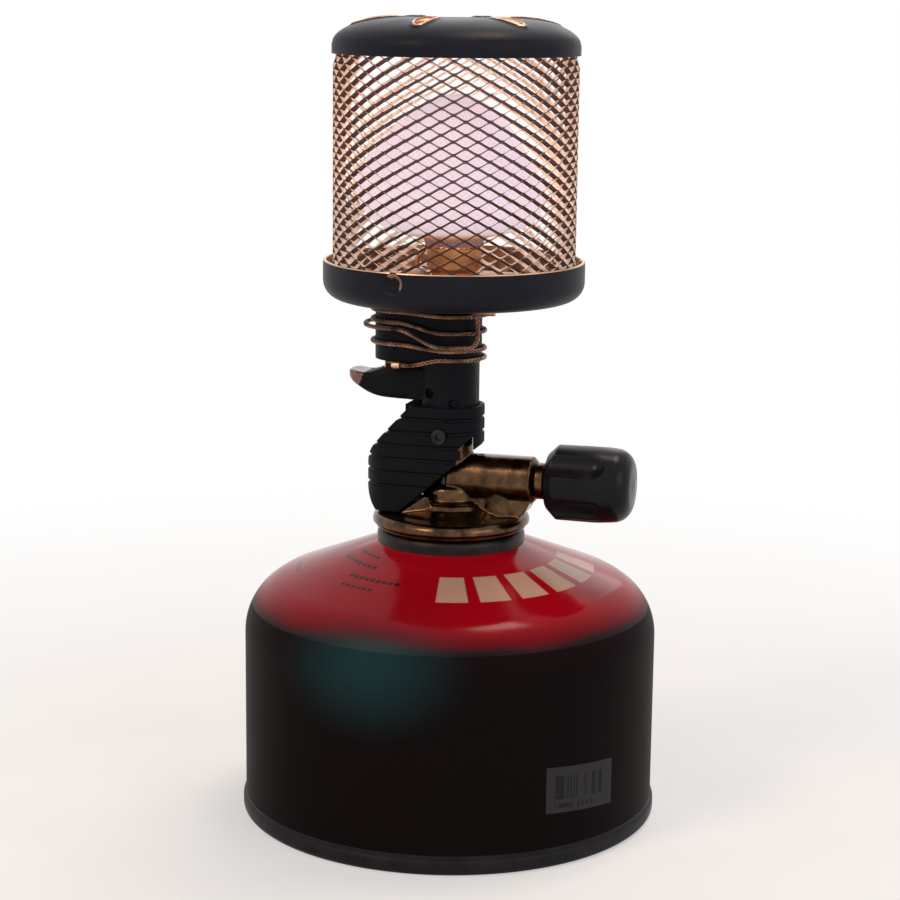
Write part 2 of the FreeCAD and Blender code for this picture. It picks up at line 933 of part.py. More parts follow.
def control_knob():
    """Knob with five crests left between wide round flutes that run out before the nose."""
    inner = d.barrel_end + d.gland_length + d.knob_gap
    outer = inner + d.knob_length
    blank = turned(
        [
            (inner, 0.0),
            (inner, d.knob_core + 0.2),
            (inner + 2.2, d.knob_radius, 0.4, 0),
            (inner + 0.6 * d.knob_length, d.knob_radius),
            (outer, d.knob_radius - 0.6, d.knob_nose),
            (outer, 0.0),
        ],
        about="X",
    )
    place(blank, z=axis_z)
    flute_radius = 6.6
    flute_distance = d.knob_core + flute_radius
    runout = inner + 0.48 * d.knob_length
    flutes = []
    for index in range(KNOB_RIBS):
        angle = d.knob_turn + 360.0 / KNOB_RIBS * (index + 0.5)
        y = flute_distance * cosine(angle)
        z = axis_z + flute_distance * sine(angle)
        flutes.append(rod(flute_radius, runout - inner + 1.0, x=inner - 1.0, y=-y, z=z, along="X"))
        flutes.append(ball(flute_radius, runout, -y, z))
    shaft_end = d.barrel_end + d.gland_length + d.knob_gap + d.shaft_reach
    bore = rod(d.shaft_radius + 0.02, shaft_end - inner + 0.1, x=inner, z=axis_z, along="X")
    flat = block(
        (inner + 2.0, -d.shaft_radius, axis_z + d.shaft_radius - 0.48),
        (shaft_end + 0.1, d.shaft_radius, axis_z + d.shaft_radius + 1.0),
    )
    node("control_knob", cut(blank, *flutes, cut(bore, flat)))


def grip_outline(inset, top, bottom):
    """Side view of the igniter housing, drawn in by an inset on its left and right."""
    belly = d.belly_radius - inset
    belly_z = axis_z - 0.05
    slope_x = d.belly_x - belly * sine(d.belly_slope)
    slope_z = belly_z + belly * cosine(d.belly_slope)
    run = (top - slope_z) / tangent(d.belly_slope)
    foot = root(belly * belly - (belly_z - bottom) * (belly_z - bottom))
    right = d.grip_right - inset
    corner = axis_z + 7.6
    return [
        (right, top),
        (slope_x + run, top),
        (slope_x, slope_z),
        (d.belly_x - foot, bottom, belly, 1),
        (-10.0 + inset, bottom),
        (right, corner - inset),
    ]


def grip_blank(inset, top, bottom):
    """Side view and plan view of the housing, each cut to the other."""
    side = slab("XZ", grip_outline(inset, top, bottom), 40.0, middle=True)
    radius = d.grip_half_depth - inset
    left = d.belly_x - d.belly_radius + inset + radius
    plan = slab("XY", long_round(left, d.grip_right - inset - radius, radius), 120.0)
    return common(side, plan)


def grip_halves():
    """Ribbed housing round boss and piezo, in a front and a rear half held by two screws."""
    bottom = flange_top + 0.2
    blank = grip_blank(as_size(0.0), grip_top, bottom)
    skin = grip_blank(d.rib_depth, grip_top + 1.0, bottom - 1.0)
    grooves = []
    for index in range(6):
        low = grip_top - 1.6 - d.rib_pitch * (index + 0.5)
        grooves.append(block((-30.0, -20.0, low), (20.0, 20.0, low + d.rib_groove)))
    ribbed = cut(blank, cut(fuse(*grooves), skin))
    hollow = grip_blank(d.grip_wall, grip_top - d.grip_wall, bottom + 0.0)
    open_edge = slab(
        "XZ",
        [
            (d.grip_right - d.grip_wall, axis_z + 10.0),
            (-13.0, flange_top - 3.0),
            (d.grip_right - d.grip_wall, flange_top - 3.0),
        ],
        2 * (d.grip_half_depth - d.grip_wall),
        middle=True,
    )
    neck_hole = place(
        slab("XY", neck_outline(d.running_gap), d.neck_insert + 1.0), z=grip_top - d.neck_insert
    )
    lever_slot = block(
        (-15.5, -d.lever_half_width - 0.4, axis_z + 11.2),
        (-5.0, d.lever_half_width + 0.4, grip_top + 1.0),
    )
    plunger_way = rod(d.plunger_radius + 0.3, 12.0, x=d.piezo_x, z=axis_z + 8.0)
    screw_z = axis_z + d.screw_rise
    pillars = fuse(
        *[
            rod(
                d.screw_radius + 1.0,
                d.grip_half_depth - d.grip_wall - d.boss_radius + 0.3,
                x=-1.1,
                y=low,
                z=screw_z,
                along="Y",
            )
            for low in (-(d.grip_half_depth - d.grip_wall + 0.1), d.boss_radius - 0.2)
        ]
    )
    shelf = block(
        (-13.5, -d.grip_half_depth + 0.5, axis_z - d.piezo_foot - 1.0),
        (-4.9, d.grip_half_depth - 0.5, axis_z - d.piezo_foot - 0.05),
    )
    shelf = cut(shelf, rod(d.turret_radius + 2.0, 40.0, z=axis_z - 30.0))
    walls = cut(ribbed, hollow, open_edge, neck_hole, lever_slot, plunger_way)
    housing = fuse(walls, cut(pillars, rod(d.boss_radius + 0.05, 60.0, z=axis_z)), shelf)
    for side, name in ((-1, "grip_front"), (1, "grip_rear")):
        start = -20.0 if side < 0 else 0.0
        half = block((-30.0, start, axis_z - 20.0), (20.0, start + 20.0, grip_top + 5.0))
        outer = side * d.grip_half_depth
        hole = rod(d.screw_radius + 0.02, 16.0, x=-1.1, y=side * 8.0 - 8.0, z=screw_z, along="Y")
        head_low = outer - 1.0 if side > 0 else outer - 2.0
        sink = rod(d.screw_head + 0.1, 3.0, x=-1.1, y=head_low, z=screw_z, along="Y")
        node(name, cut(common(housing, half), hole, sink))


def housing_screws():
    """One screw from each side, its head sunk in the housing."""
    screws = []
    for side in (-1, 1):
        seat = d.grip_half_depth - 1.0
        tip = 1.9
        shank_start = side * seat if side < 0 else as_size(tip)
        head_start = side * seat if side > 0 else side * seat - 1.1
        level = axis_z + d.screw_rise
        shank = rod(d.screw_radius - 0.02, seat - tip, x=-1.1, y=shank_start, z=level, along="Y")
        head = rod(d.screw_head, 1.1, x=-1.1, y=head_start, z=level, along="Y")
        socket_start = side * (seat + 0.5) if side > 0 else side * seat - 1.2
        socket = rod(0.75, 0.7, x=-1.1, y=socket_start, z=level, along="Y")
        screws.append(cut(fuse(shank, head), socket))
    compound = doc.addObject("Part::Compound", "screws")
    compound.Links = screws
    node("housing_screws", compound)


def neck_outline(grow):
    """Neck tube section: two half circles with a short flat between them, drawn out by an amount."""
    radius = d.neck_radius + grow
    left = d.neck_x - radius
    right = d.neck_x + radius
    return [
        (right, d.neck_flat),
        (left, d.neck_flat, radius, 1),
        (left, -d.neck_flat),
        (right, -d.neck_flat, radius, 1),
    ]


def neck_housing():
    """Neck tube with air holes and a lever slot, and above it the long round spool for the wire."""
    low = grip_top - d.neck_insert
    tube = place(slab("XY", neck_outline(as_size(0.0)), spool_bottom - low + 1.0), z=low)
    spool_outline = long_round(d.spool_left, d.spool_right, d.spool_half_depth)
    spool = place(slab("XY", spool_outline, d.spool_height), z=spool_bottom)
    flare_height = 1.7
    flare = place(slab("XY", spool_outline, flare_height), z=pan_bottom - flare_height)
    flare.Tip.TaperAngle = 43.0
    bind(flare.Tip, "TaperAngle", Size(43.0))
    inner = long_round(d.spool_left, d.spool_right, d.spool_half_depth - d.spool_wall)
    hollow = place(slab("XY", inner, d.spool_height), z=spool_bottom + d.spool_wall)
    bore = place(slab("XY", neck_outline(-d.neck_wall), spool_bottom - low + 4.0), z=low - 1.0)
    slot = block(
        (d.neck_x - d.neck_radius - 2.0, -d.lever_half_width - 0.25, low - 1.0),
        (d.neck_x - 2.0, d.lever_half_width + 0.25, spool_bottom),
    )
    pivot = rod(d.pivot_radius + d.running_gap, 30.0, x=d.pivot_x, y=-15.0, z=pivot_z, along="Y")
    air = rod(d.air_hole_radius, 30.0, x=-3.6, y=-15.0, z=grip_top + 2.9, along="Y")
    screw_post = rod(2.5, d.spool_height - d.spool_wall, x=screw_x, z=spool_bottom + d.spool_wall)
    screw_hole = rod(1.3, 8.0, x=screw_x, z=pan_bottom - 7.0)
    shell = cut(fuse(tube, spool, flare), hollow, bore, slot, pivot, air)
    clip = block(
        (-12.9, -d.spool_half_depth - 1.6, spool_bottom - 1.5),
        (-11.4, -d.spool_half_depth + 1.0, spool_bottom + 0.1),
    )
    seat = rod(d.ferrule_radius + 0.05, 6.0, x=-14.0, y=ferrule_y, z=ferrule_z, along="X")
    node("neck_housing", cut(fuse(shell, screw_post, clip), screw_hole, seat))


pivot_z = grip_top - d.pivot_drop
screw_x = d.spool_left - 2.6
ferrule_y = -d.spool_half_depth - 0.65
ferrule_z = spool_bottom - 0.55


def igniter_trigger():
    """Thumb lever: tongue with an up-turned tip, a fork round the mixing tube and a finger."""
    base = grip_top
    half = d.lever_half_width
    tongue = slab(
        "XZ",
        [
            (-4.2, base + 0.9),
            (-4.2, base + 8.6),
            (-17.4, base + 8.6, 1.0),
            (-19.0, base + 7.7),
            (d.pivot_x - d.lever_reach, base + 7.9, 0.8),
            (d.pivot_x - d.lever_reach + 0.6, base + 6.0, 1.2),
            (-20.7, base + 3.9, 2.5),
            (-18.1, base + 2.5, 3.0),
            (-13.8, base + 1.3, 6.0),
            (-7.6, base + 0.9),
        ],
        2 * half,
        middle=True,
    )
    dish_x = d.pivot_x - d.lever_reach + 3.6
    dish = rod(14.0, 2 * half + 2.0, x=dish_x, y=-half - 1.0, z=base + 21.2, along="Y")
    finger = slab(
        "XZ",
        [
            (-4.3, base + 1.0),
            (-7.4, base + 1.0),
            (d.piezo_x - 1.0, base - 1.0),
            (d.piezo_x - 1.0, plunger_top + 0.03, 0.97),
            (d.piezo_x + 1.0, plunger_top + 0.03, 0.97),
            (-4.3, base - 0.6),
        ],
        3.0,
        middle=True,
    )
    fork_inner = d.tube_radius + 0.2
    fork = slab(
        "XZ",
        [
            (-4.4, base + 0.9),
            (-4.4, base + 6.0),
            (d.pivot_x + 0.2, pivot_z + 1.7, 1.4),
            (d.pivot_x + 1.3, pivot_z, 1.2),
            (d.pivot_x + 0.2, pivot_z - 1.6, 1.4),
        ],
        2 * (fork_inner + d.fork_thickness),
        middle=True,
    )
    gap = block((-5.0, -fork_inner, base - 3.0), (10.0, fork_inner, base + 12.0))
    reach = d.neck_radius - 0.4
    trunnions = rod(d.pivot_radius, 2 * reach, x=d.pivot_x, y=-reach, z=pivot_z, along="Y")
    arms = cut(fuse(fork, trunnions), gap)
    node("igniter_trigger", fuse(cut(tongue, dish), finger, arms))


plunger_top = axis_z + d.plunger_top


def piezo():
    """Piezo unit standing in the grip, with its push pin and the terminal for the lead."""
    low = axis_z - d.piezo_foot
    top = low + d.piezo_height
    half = d.piezo_half
    case = block((d.piezo_x - half, -half, low), (d.piezo_x + half, half, top))
    collar = rod(2.6, 1.4, x=d.piezo_x, z=top)
    hole = rod(d.plunger_radius + d.running_gap, 6.5, x=d.piezo_x, z=top - 4.5)
    lug = block((d.piezo_x - 1.2, half - 0.2, low + 3.0), (d.piezo_x + 1.2, lead_y + 0.7, low + 4.2))
    node("piezo_unit", cut(fuse(case, collar, lug), hole))
    pin = rod(d.plunger_radius, plunger_top - top + 0.4, x=d.piezo_x, z=top - 0.4)
    node("piezo_plunger", pin)


lead_y = d.piezo_half + 1.25


def ignition_lead():
    """Insulated lead from the piezo's terminal, past the mixing tube, to the electrode."""
    low = axis_z - d.piezo_foot + 4.2
    points = [
        vector(d.piezo_x, lead_y, low),
        vector(d.piezo_x, lead_y, low + 5.4),
        vector(-4.2, 4.0, axis_z + 11.4),
        vector(-1.2, 4.75, grip_top - 0.7),
        vector(-1.2, 4.75, grip_top + 5.1),
        vector(-1.6, 4.5, spool_bottom + 1.3),
        vector(-5.0, 2.5, spool_bottom + 4.3),
        vector(d.electrode_x + 0.6, 0.5, spool_bottom + 6.9),
        vector(d.electrode_x, 0.0, spool_bottom + 9.3),
        vector(d.electrode_x, 0.0, insulator_low),
    ]
    shaped("ignition_lead", cable(points, d.lead_diameter.value / 2, 8))


insulator_low = pan_bottom - 1.5


def cable(points, radius, sides):
    """A tube of straight runs joined by the largest tangent arcs that they allow."""
    edges = []
    here = points[0]
    turns = []
    for before, corner, after in zip(points, points[1:], points[2:]):
        first = corner - before
        second = after - corner
        shorter = min(first.Length, second.Length)
        turn = first.getAngle(second)
        reach = 0.45 * shorter
        arc_radius = reach / math.tan(turn / 2)
        turns.append(round(arc_radius, 1))
        start = corner - first.normalize() * reach
        end = corner + second.normalize() * reach
        bisector = (second - first).normalize()
        centre_distance = arc_radius / math.cos(turn / 2)
        middle = corner + bisector * (centre_distance - arc_radius)
        edges.append(Part.LineSegment(here, start).toShape())
        edges.append(Part.Arc(start, middle, end).toShape())
        here = end
    edges.append(Part.LineSegment(here, points[-1]).toShape())
    spine = Part.Wire(edges)
    shape = swept(spine, radius, sides)
    area = 0.5 * sides * radius**2 * math.sin(2 * math.pi / sides)
    print("lead radii", turns, "volume ratio", round(shape.Volume / (area * spine.Length), 3))
    return shape


def tube_and_fixings():
    """Mixing tube with its air holes, and the nut and screw that hold the pan."""
    tube_in = d.tube_radius - d.tube_wall
    tube = turned(
        [
            (tube_in, boss_top),
            (d.tube_radius, boss_top),
            (d.tube_radius, burner_bottom + 3.0),
            (tube_in, burner_bottom + 3.0),
        ]
    )
    air = [
        rod(d.air_hole_radius, 12.0, x=-6.0 * axis[0], y=-6.0 * axis[1], z=boss_top + 3.4, along=name)
        for name, axis in (("X", (1, 0)), ("Y", (0, 1)))
    ]
    node("mixing_tube", cut(tube, *air))
    nut = slab("XY", polygon(6, d.nut_across / 2), d.nut_height)
    place(nut, z=pan_floor)
    node("pan_nut", cut(nut, rod(d.tube_radius + 0.02, 40.0, z=pan_floor - 10.0)))
    head = rod(2.7, 1.4, x=screw_x, z=pan_floor)
    shank = rod(1.28, 7.0, x=screw_x, z=pan_floor - 7.0)
    slot = block((screw_x - 0.4, -3.0, pan_floor + 0.8), (screw_x + 0.4, 3.0, pan_floor + 2.0))
    node("pan_screw", cut(fuse(head, shank), slot))


def polygon(sides, inner_radius):
    """A regular outline with a given radius to the middle of its sides."""
    outer = inner_radius / cosine(180.0 / sides)
    corners = []
    for index in range(sides):
        angle = 360.0 / sides * (index + 0.5)
        corners.append((outer * cosine(angle), outer * sine(angle)))
    return corners


def base_pan():
    """Pressed pan with a rolled edge, vents in its floor and three dimples that grip the globe."""
    outer = d.mesh_radius + d.pan_gap
    inner = outer - d.pan_wall
    body = turned(
        [
            (d.tube_radius + 0.1, pan_bottom),
            (outer, pan_bottom, d.pan_corner),
            (outer, pan_rim),
            (inner, pan_rim),
            (inner, pan_floor, d.pan_corner - d.pan_wall, 0),
            (d.tube_radius + 0.1, pan_floor),
        ]
    )
    vent = [
        (d.vent_ring - d.vent_radius, 0.0, d.vent_radius, 1),
        (d.vent_ring + d.vent_radius, 0.0, d.vent_radius, 1),
    ]
    around(body, pierce(body, vent), VENTS)
    middle = pan_rim - 2.4
    reach = d.mesh_radius + 0.3 + d.dimple_radius
    bumps = []
    dents = []
    for index in range(DIMPLES):
        angle = d.dimple_angle + 360.0 / DIMPLES * index
        bumps.append(ball(d.dimple_radius, reach * cosine(angle), reach * sine(angle), middle))
        out = reach + d.pan_wall * 0.9
        dents.append(ball(d.dimple_radius, out * cosine(angle), out * sine(angle), middle))
    inside = rod(outer - 0.1, d.pan_depth, z=pan_bottom)
    dimpled = fuse(body, common(fuse(*bumps), inside))
    screw_way = rod(1.4, 10.0, x=screw_x, z=pan_bottom - 5.0)
    insulator_way = rod(d.insulator_radius + 0.02, 10.0, x=d.electrode_x, z=pan_bottom - 5.0)
    node("base_pan", cut(dimpled, *dents, screw_way, insulator_way))


def burner_head():
    """Burner nozzle with a tying groove for the mantle and gas ports in its top."""
    tube_hole = d.tube_radius + 0.02
    neck = d.burner_radius - 1.0
    body = turned(
        [
            (tube_hole, burner_bottom),
            (neck, burner_bottom),
            (neck, burner_bottom + 2.4),
            (d.burner_radius, burner_bottom + 3.4),
            (d.burner_radius, burner_top - 3.2),
            (d.burner_radius - 0.7, burner_top - 2.6),
            (d.burner_radius - 0.7, burner_top - 1.8),
            (d.burner_radius, burner_top - 1.2),
            (d.burner_radius, burner_top, 0.8, 0),
            (0.0, burner_top),
            (0.0, burner_top - 1.0),
            (d.burner_radius - 1.8, burner_top - 1.0),
            (d.burner_radius - 1.8, burner_bottom + 4.4),
            (tube_hole, burner_bottom + 3.1),
        ]
    )
    port = 0.6
    ring = d.burner_radius * 0.45
    outline = [
        (ring - port, 0.0, port, 1),
        (ring + port, 0.0, port, 1),
    ]
    around(body, pierce(body, outline), BURNER_PORTS)
    node("burner_head", body)


def mantle():
    """Burnt-in mantle: a thin pear-shaped bag in flat bands, tied on the burner's groove, open there."""
    wall = d.mantle_wall
    neck = d.burner_radius + 0.1
    tie = burner_top - 2.8
    low = burner_top - d.mantle_drop
    wide = d.mantle_radius
    high = d.mantle_radius - d.mantle_taper
    foot_round = d.mantle_foot_round
    crown_round = d.mantle_crown_round
    node(
        "mantle",
        turned(
            [
                (neck, tie),
                (neck + wall, tie),
                (neck + wall, low),
                (wide, low, foot_round, 0),
                (high, mantle_top, crown_round, 0),
                (0.0, mantle_top),
                (0.0, mantle_top - wall),
                (high - wall, mantle_top - wall, crown_round - wall, 0),
                (wide - wall, low + wall, foot_round - wall, 0),
                (neck, low + wall),
            ]
        ),
    )


def electrode():
    """Ceramic insulator through the pan and the spark pin bent towards the burner."""
    top = pan_floor + d.insulator_rise
    pin = d.electrode_radius
    node(
        "electrode_insulator",
        place(
            turned(
                [
                    (pin + 0.02, insulator_low),
                    (d.insulator_radius, insulator_low),
                    (d.insulator_radius, top, 0.6, 0),
                    (pin + 0.02, top),
                ]
            ),
            x=d.electrode_x,
        ),
    )
    bend_height = top.value + 1.6
    x = d.electrode_x.value
    start = vector(x, 0.0, insulator_low.value + 0.02)
    low_bend = vector(x, 0.0, bend_height)
    bend = 1.6
    lean = math.radians(40.0)
    edges = [Part.LineSegment(start, low_bend).toShape()]
    points = []
    for part in (0.5, 1.0):
        angle = lean * part
        points.append(
            vector(x + bend * (1 - math.cos(angle)), 0.0, bend_height + bend * math.sin(angle))
        )
    edges.append(Part.Arc(low_bend, *points).toShape())
    end = points[1] + vector(math.sin(lean), 0.0, math.cos(lean)) * 2.0
    edges.append(Part.LineSegment(points[1], end).toShape())
    shaped("spark_electrode", swept(Part.Wire(edges), d.electrode_radius.value, 8))


def mesh_globe():
    """Expanded-metal tube: one wall of flat facets with diamond holes, each cut straight in.

    Half a diamond's width lies on each facet. A hole's side walls run parallel to the radius through
    its middle, so every wall between the outer and inner face is flat.
    """
    columns = SIZES["mesh_columns"]
    rows = SIZES["mesh_rows"]
    outer = d.mesh_radius.value
    inner = outer - d.mesh_wall.value
    low = mesh_bottom.value
    top = mesh_top.value
    first = low + d.mesh_hem.value
    pitch = (top - d.mesh_hem.value - first) / (rows + 0.5)
    strips = 2 * columns
    step = 2 * math.pi / strips
    spokes = [vector(math.cos(step * k), math.sin(step * k), 0.0) for k in range(strips)]
    width = 2 * outer * math.sin(step / 2)
    slope = math.atan2(pitch / 2, width)
    strand = d.mesh_strand.value
    reach_out = width - strand / math.sin(slope) / 2
    half_high = pitch / 2 - strand / math.cos(slope) / 2
    faces = []
    for k in range(strips):
        left = spokes[k]
        right = spokes[(k + 1) % strips]
        rings = []
        for radius in (outer, inner):
            ring = holed_strip(
                left, right, radius, outer, k, rows, pitch, first, low, top, reach_out, half_high
            )
            faces.append(Part.Face(Part.makePolygon(ring + ring[:1])))
            rings.append(ring)
        ring_out, ring_in = rings
        count = len(ring_out)
        for index in range(count):
            following = (index + 1) % count
            a, b = ring_out[index], ring_out[following]
            if on_border(a, b, left, right):
                continue
            quad = [a, b, ring_in[following], ring_in[index], a]
            faces.append(Part.Face(Part.makePolygon(quad)))
    shell = Part.makeShell(faces)
    shell.sewShape()
    solid = Part.makeSolid(shell)
    if solid.Volume < 0:
        solid.reverse()
    shaped("mesh_globe", solid)


def on_border(a, b, left, right):
    """True where an edge lies along a strip's border, shared with the next strip."""
    for spoke in (left, right):
        side = FreeCAD.Vector(-spoke.y, spoke.x, 0.0)
        if abs(a.dot(side)) < 1e-6 and abs(b.dot(side)) < 1e-6 and abs(a.z - b.z) > 1e-6:
            return True
    return False


def holed_strip(left, right, radius, outer, k, rows, pitch, first, low, top, reach_out, half_high):
    """One facet's outline: a strip between two spokes with half diamonds taken from both sides."""
    chord = (right - left).normalize()
    points = []
    for spoke, shift, forward in ((left, k % 2, 1), (right, (k + 1) % 2, -1)):
        tip_out = spoke * outer + chord * reach_out * forward
        normal = (left + right).normalize()
        plane = radius * normal.dot(left)
        tip = tip_out - spoke * ((tip_out.dot(normal) - plane) / spoke.dot(normal))
        border = spoke * radius
        side = [at_height(border, low)]
        for row in range(rows):
            middle = first + pitch * (row + 0.5 + 0.5 * shift)
            side.append(at_height(border, middle - half_high))
            side.append(at_height(tip, middle))
            side.append(at_height(border, middle + half_high))
        side.append(at_height(border, top))
        points.append(side)
    return points[1] + points[0][::-1]


def at_height(point, height):
    return FreeCAD.Vector(point.x, point.y, height)


def globe_cap():
    """Pressed cap with a rounded shoulder and six petal slots that let the hot gas out."""
    inner = d.cap_radius - d.cap_wall
    body = turned(
        [
            (0.0, cap_top),
            (0.0, cap_top - d.cap_wall),
            (inner, cap_top - d.cap_wall, d.cap_corner - d.cap_wall, 0),
            (inner, cap_bottom),
            (d.cap_radius, cap_bottom),
            (d.cap_radius, cap_top, d.cap_corner),
        ]
    )
    half = d.petal_width / 2
    around(body, pierce(body, long_round(d.petal_inner + half, d.petal_outer - half, half)), PETALS)
    node("globe_cap", place(body, angle=d.petal_angle))


def wire_run(start, end):
    """Two equal arcs between points whose headings are the same, along X."""
    heading = vector(1.0 if end.x > start.x else -1.0)
    middle = (start + end) * 0.5
    edges = []
    for first, last, tangent_sign in ((start, middle, 1), (end, middle, -1)):
        chord = last - first
        line = heading * tangent_sign
        across = line - chord * (line.dot(chord) / chord.dot(chord))
        if across.Length < 1e-6:
            edges.append(Part.LineSegment(first, last).toShape())
            continue
        half_turn = line.getAngle(chord)
        bow = chord.Length / 2 * math.tan(half_turn / 2)
        crown = first + chord * 0.5 + across.normalize() * bow
        edges.append(Part.Arc(first, crown, last).toShape())
    return edges


def suspension_wire():
    """Wire wound on the spool: an outer pass from the anchor, then inner turns down to the ferrule."""
    right_x = d.spool_right.value
    left_x = d.spool_left.value
    inner = d.spool_half_depth.value + d.wire_clearance.value + d.wire_diameter.value / 2
    outer = inner + d.wire_layer.value
    top = pan_bottom.value
    right_heights = [top - 3.2, top - 6.8, top - 10.6, top - 12.6]
    left_heights = [top - 2.6, top - 4.9, top - 9.6]
    pass_start = top - 9.6
    pass_end = top - 6.0
    begin = math.radians(-50.0)
    bend = d.wire_bend.value
    arrive = vector(right_x + outer * math.cos(begin), outer * math.sin(begin), pass_start)
    heading = vector(math.sin(begin), -math.cos(begin))
    riser = arrive - heading * bend + vector(0, 0, bend)
    bend_middle = riser + heading * bend * (1 - math.cos(math.pi / 4)) - vector(0, 0, bend * 0.70710678)
    anchor_low = vector(riser.x, riser.y, anchor_z.value - anchor_radius)
    edges = [Part.LineSegment(anchor_low, riser).toShape()]
    edges.append(Part.Arc(riser, bend_middle, arrive).toShape())
    half_way = (begin - math.pi / 2) / 2
    edges.append(
        Part.Arc(
            arrive,
            vector(right_x + outer * math.cos(half_way), outer * math.sin(half_way), pass_start),
            vector(right_x, -outer, pass_start),
        ).toShape()
    )
    edges += wire_run(vector(right_x, -outer, pass_start), vector(left_x, -outer, pass_end))
    edges.append(half_turn(left_x, -outer, outer, pass_end))
    edges += wire_run(vector(left_x, outer, pass_end), vector(right_x, outer, right_heights[0]))
    edges.append(half_turn(right_x, outer, -inner, right_heights[0]))
    for index, height in enumerate(left_heights):
        edges += wire_run(vector(right_x, -inner, right_heights[index]), vector(left_x, -inner, height))
        edges.append(half_turn(left_x, -inner, inner, height))
        edges += wire_run(vector(left_x, inner, height), vector(right_x, inner, right_heights[index + 1]))
        edges.append(half_turn(right_x, inner, -inner, right_heights[index + 1]))
    last = vector(right_x, -inner, right_heights[-1])
    leave = vector(-8.4, ferrule_y.value, ferrule_z.value)
    edges += wire_run(last, leave)
    finish = vector(-9.8, ferrule_y.value, ferrule_z.value)
    edges.append(Part.LineSegment(leave, finish).toShape())
    spine = Part.Wire(edges)
    shape = swept(spine, d.wire_diameter.value / 2, 6)
    print("wire length", round(spine.Length, 1), "gap", round(self_gap(spine), 2))
    shaped("suspension_wire", shape)
    bar = rod(anchor_radius, 4.7, x=riser.x - 0.9, y=riser.y, z=anchor_z, along="X")
    foot = block(
        (riser.x + 1.2, riser.y - 0.5, anchor_z), (riser.x + 2.6, riser.y + 0.5, pan_bottom)
    )
    node("wire_anchor", fuse(bar, foot))
    node("wire_ferrule", rod(d.ferrule_radius, 3.2, x=-13.0, y=ferrule_y, z=ferrule_z, along="X"))


anchor_radius = 0.85
anchor_z = pan_bottom - 1.9


def half_turn(x, start_y, end_y, height):
    """A level half circle round one end of the spool."""
    middle = (start_y + end_y) / 2
    reach = abs(end_y - start_y) / 2
    side = 1.0 if start_y > end_y else -1.0
    crown = vector(x + side * reach, middle, height)
    return Part.Arc(vector(x, start_y, height), crown, vector(x, end_y, height)).toShape()


def self_gap(spine):
    """Least clear distance between stretches of the wire that aren't neighbours along it."""
    spacing = 0.5
    points = spine.discretize(Distance=spacing)
    skip = int(4 * d.wire_diameter.value / spacing)
    least = 1e9
    for index, point in enumerate(points):
        for other in points[index + skip :]:
            least = min(least, point.distanceToPoint(other))
    return least - d.wire_diameter.value


cartridge_shell()
cartridge_base()
valve_cup()
cartridge_valve()
valve_body()
gas_inlet()
jet()
spindle_parts()
control_knob()
grip_halves()
housing_screws()
neck_housing()
igniter_trigger()
piezo()
ignition_lead()
base_pan()
tube_and_fixings()
burner_head()
mantle()
electrode()
mesh_globe()
globe_cap()
suspension_wire()
doc.recompute()

faults = [item.Name for item in doc.Objects if {"Invalid", "Error"} & set(item.State)]
for name, thing in nodes.items():
    shape = thing.Shape
    if shape.isNull() or not shape.isValid() or shape.Volume <= 0 or not shape.Solids:
        faults.append(name)
if faults:
    raise RuntimeError(f"not built: {faults}")
os.makedirs("parts", exist_ok=True)
for name, thing in nodes.items():
    thing.Shape.exportStep(f"parts/{name}.step")
    box = thing.Shape.BoundBox
    print(name, len(thing.Shape.Solids), round(thing.Shape.Volume, 1), round(box.ZMin, 2), round(box.ZMax, 2))
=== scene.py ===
import math

import bmesh
import bpy
import numpy as np
from mathutils import Matrix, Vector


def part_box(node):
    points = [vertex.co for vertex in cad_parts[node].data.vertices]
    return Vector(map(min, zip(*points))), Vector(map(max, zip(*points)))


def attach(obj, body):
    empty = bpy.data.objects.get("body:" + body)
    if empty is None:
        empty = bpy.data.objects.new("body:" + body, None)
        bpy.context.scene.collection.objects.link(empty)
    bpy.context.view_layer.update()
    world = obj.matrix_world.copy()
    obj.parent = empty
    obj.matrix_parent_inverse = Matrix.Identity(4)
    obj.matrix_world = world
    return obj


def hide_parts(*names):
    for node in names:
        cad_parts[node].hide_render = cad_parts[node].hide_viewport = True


# A small gas lantern, dressed over its CAD frame. Lengths are millimetres until a mesh is made.

MM = 0.001
TAU = 2 * math.pi

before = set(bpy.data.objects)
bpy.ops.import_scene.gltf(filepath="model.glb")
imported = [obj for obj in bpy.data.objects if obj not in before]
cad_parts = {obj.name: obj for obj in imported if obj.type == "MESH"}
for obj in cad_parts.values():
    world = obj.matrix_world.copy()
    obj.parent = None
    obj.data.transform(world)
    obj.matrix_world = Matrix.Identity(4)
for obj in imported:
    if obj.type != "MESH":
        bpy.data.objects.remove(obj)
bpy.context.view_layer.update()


def low(name, axis=2):
    """The lowest coordinate of a CAD solid along an axis."""
    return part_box(name)[0][axis] / MM


def high(name, axis=2):
    """The highest coordinate of a CAD solid along an axis."""
    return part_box(name)[1][axis] / MM


def added(name, data):
    """A new object in the scene."""
    thing = bpy.data.objects.new(name, data)
    bpy.context.scene.collection.objects.link(thing)
    return thing


# Heights that the CAD solids give
axis_z = (low("control_knob") + high("control_knob")) / 2
grip_top = high("grip_front")
pan_low = low("base_pan")
pan_rim = high("base_pan")
mesh_low = low("mesh_globe")
mesh_high = high("mesh_globe")
cap_low = low("globe_cap")
cap_high = high("globe_cap")
mantle_low = low("mantle")

# Sizes that several pieces share with their CAD solids
CAN_RADIUS = 45.0
DIMPLES = 3
DIMPLE_TURN = math.radians(18.3)
DIMPLE_REACH = 27.6
dimple_z = pan_rim - 2.4

# Height at which the can's matt side ends and its gloss shoulder begins
SIDE_TOP = 46.6

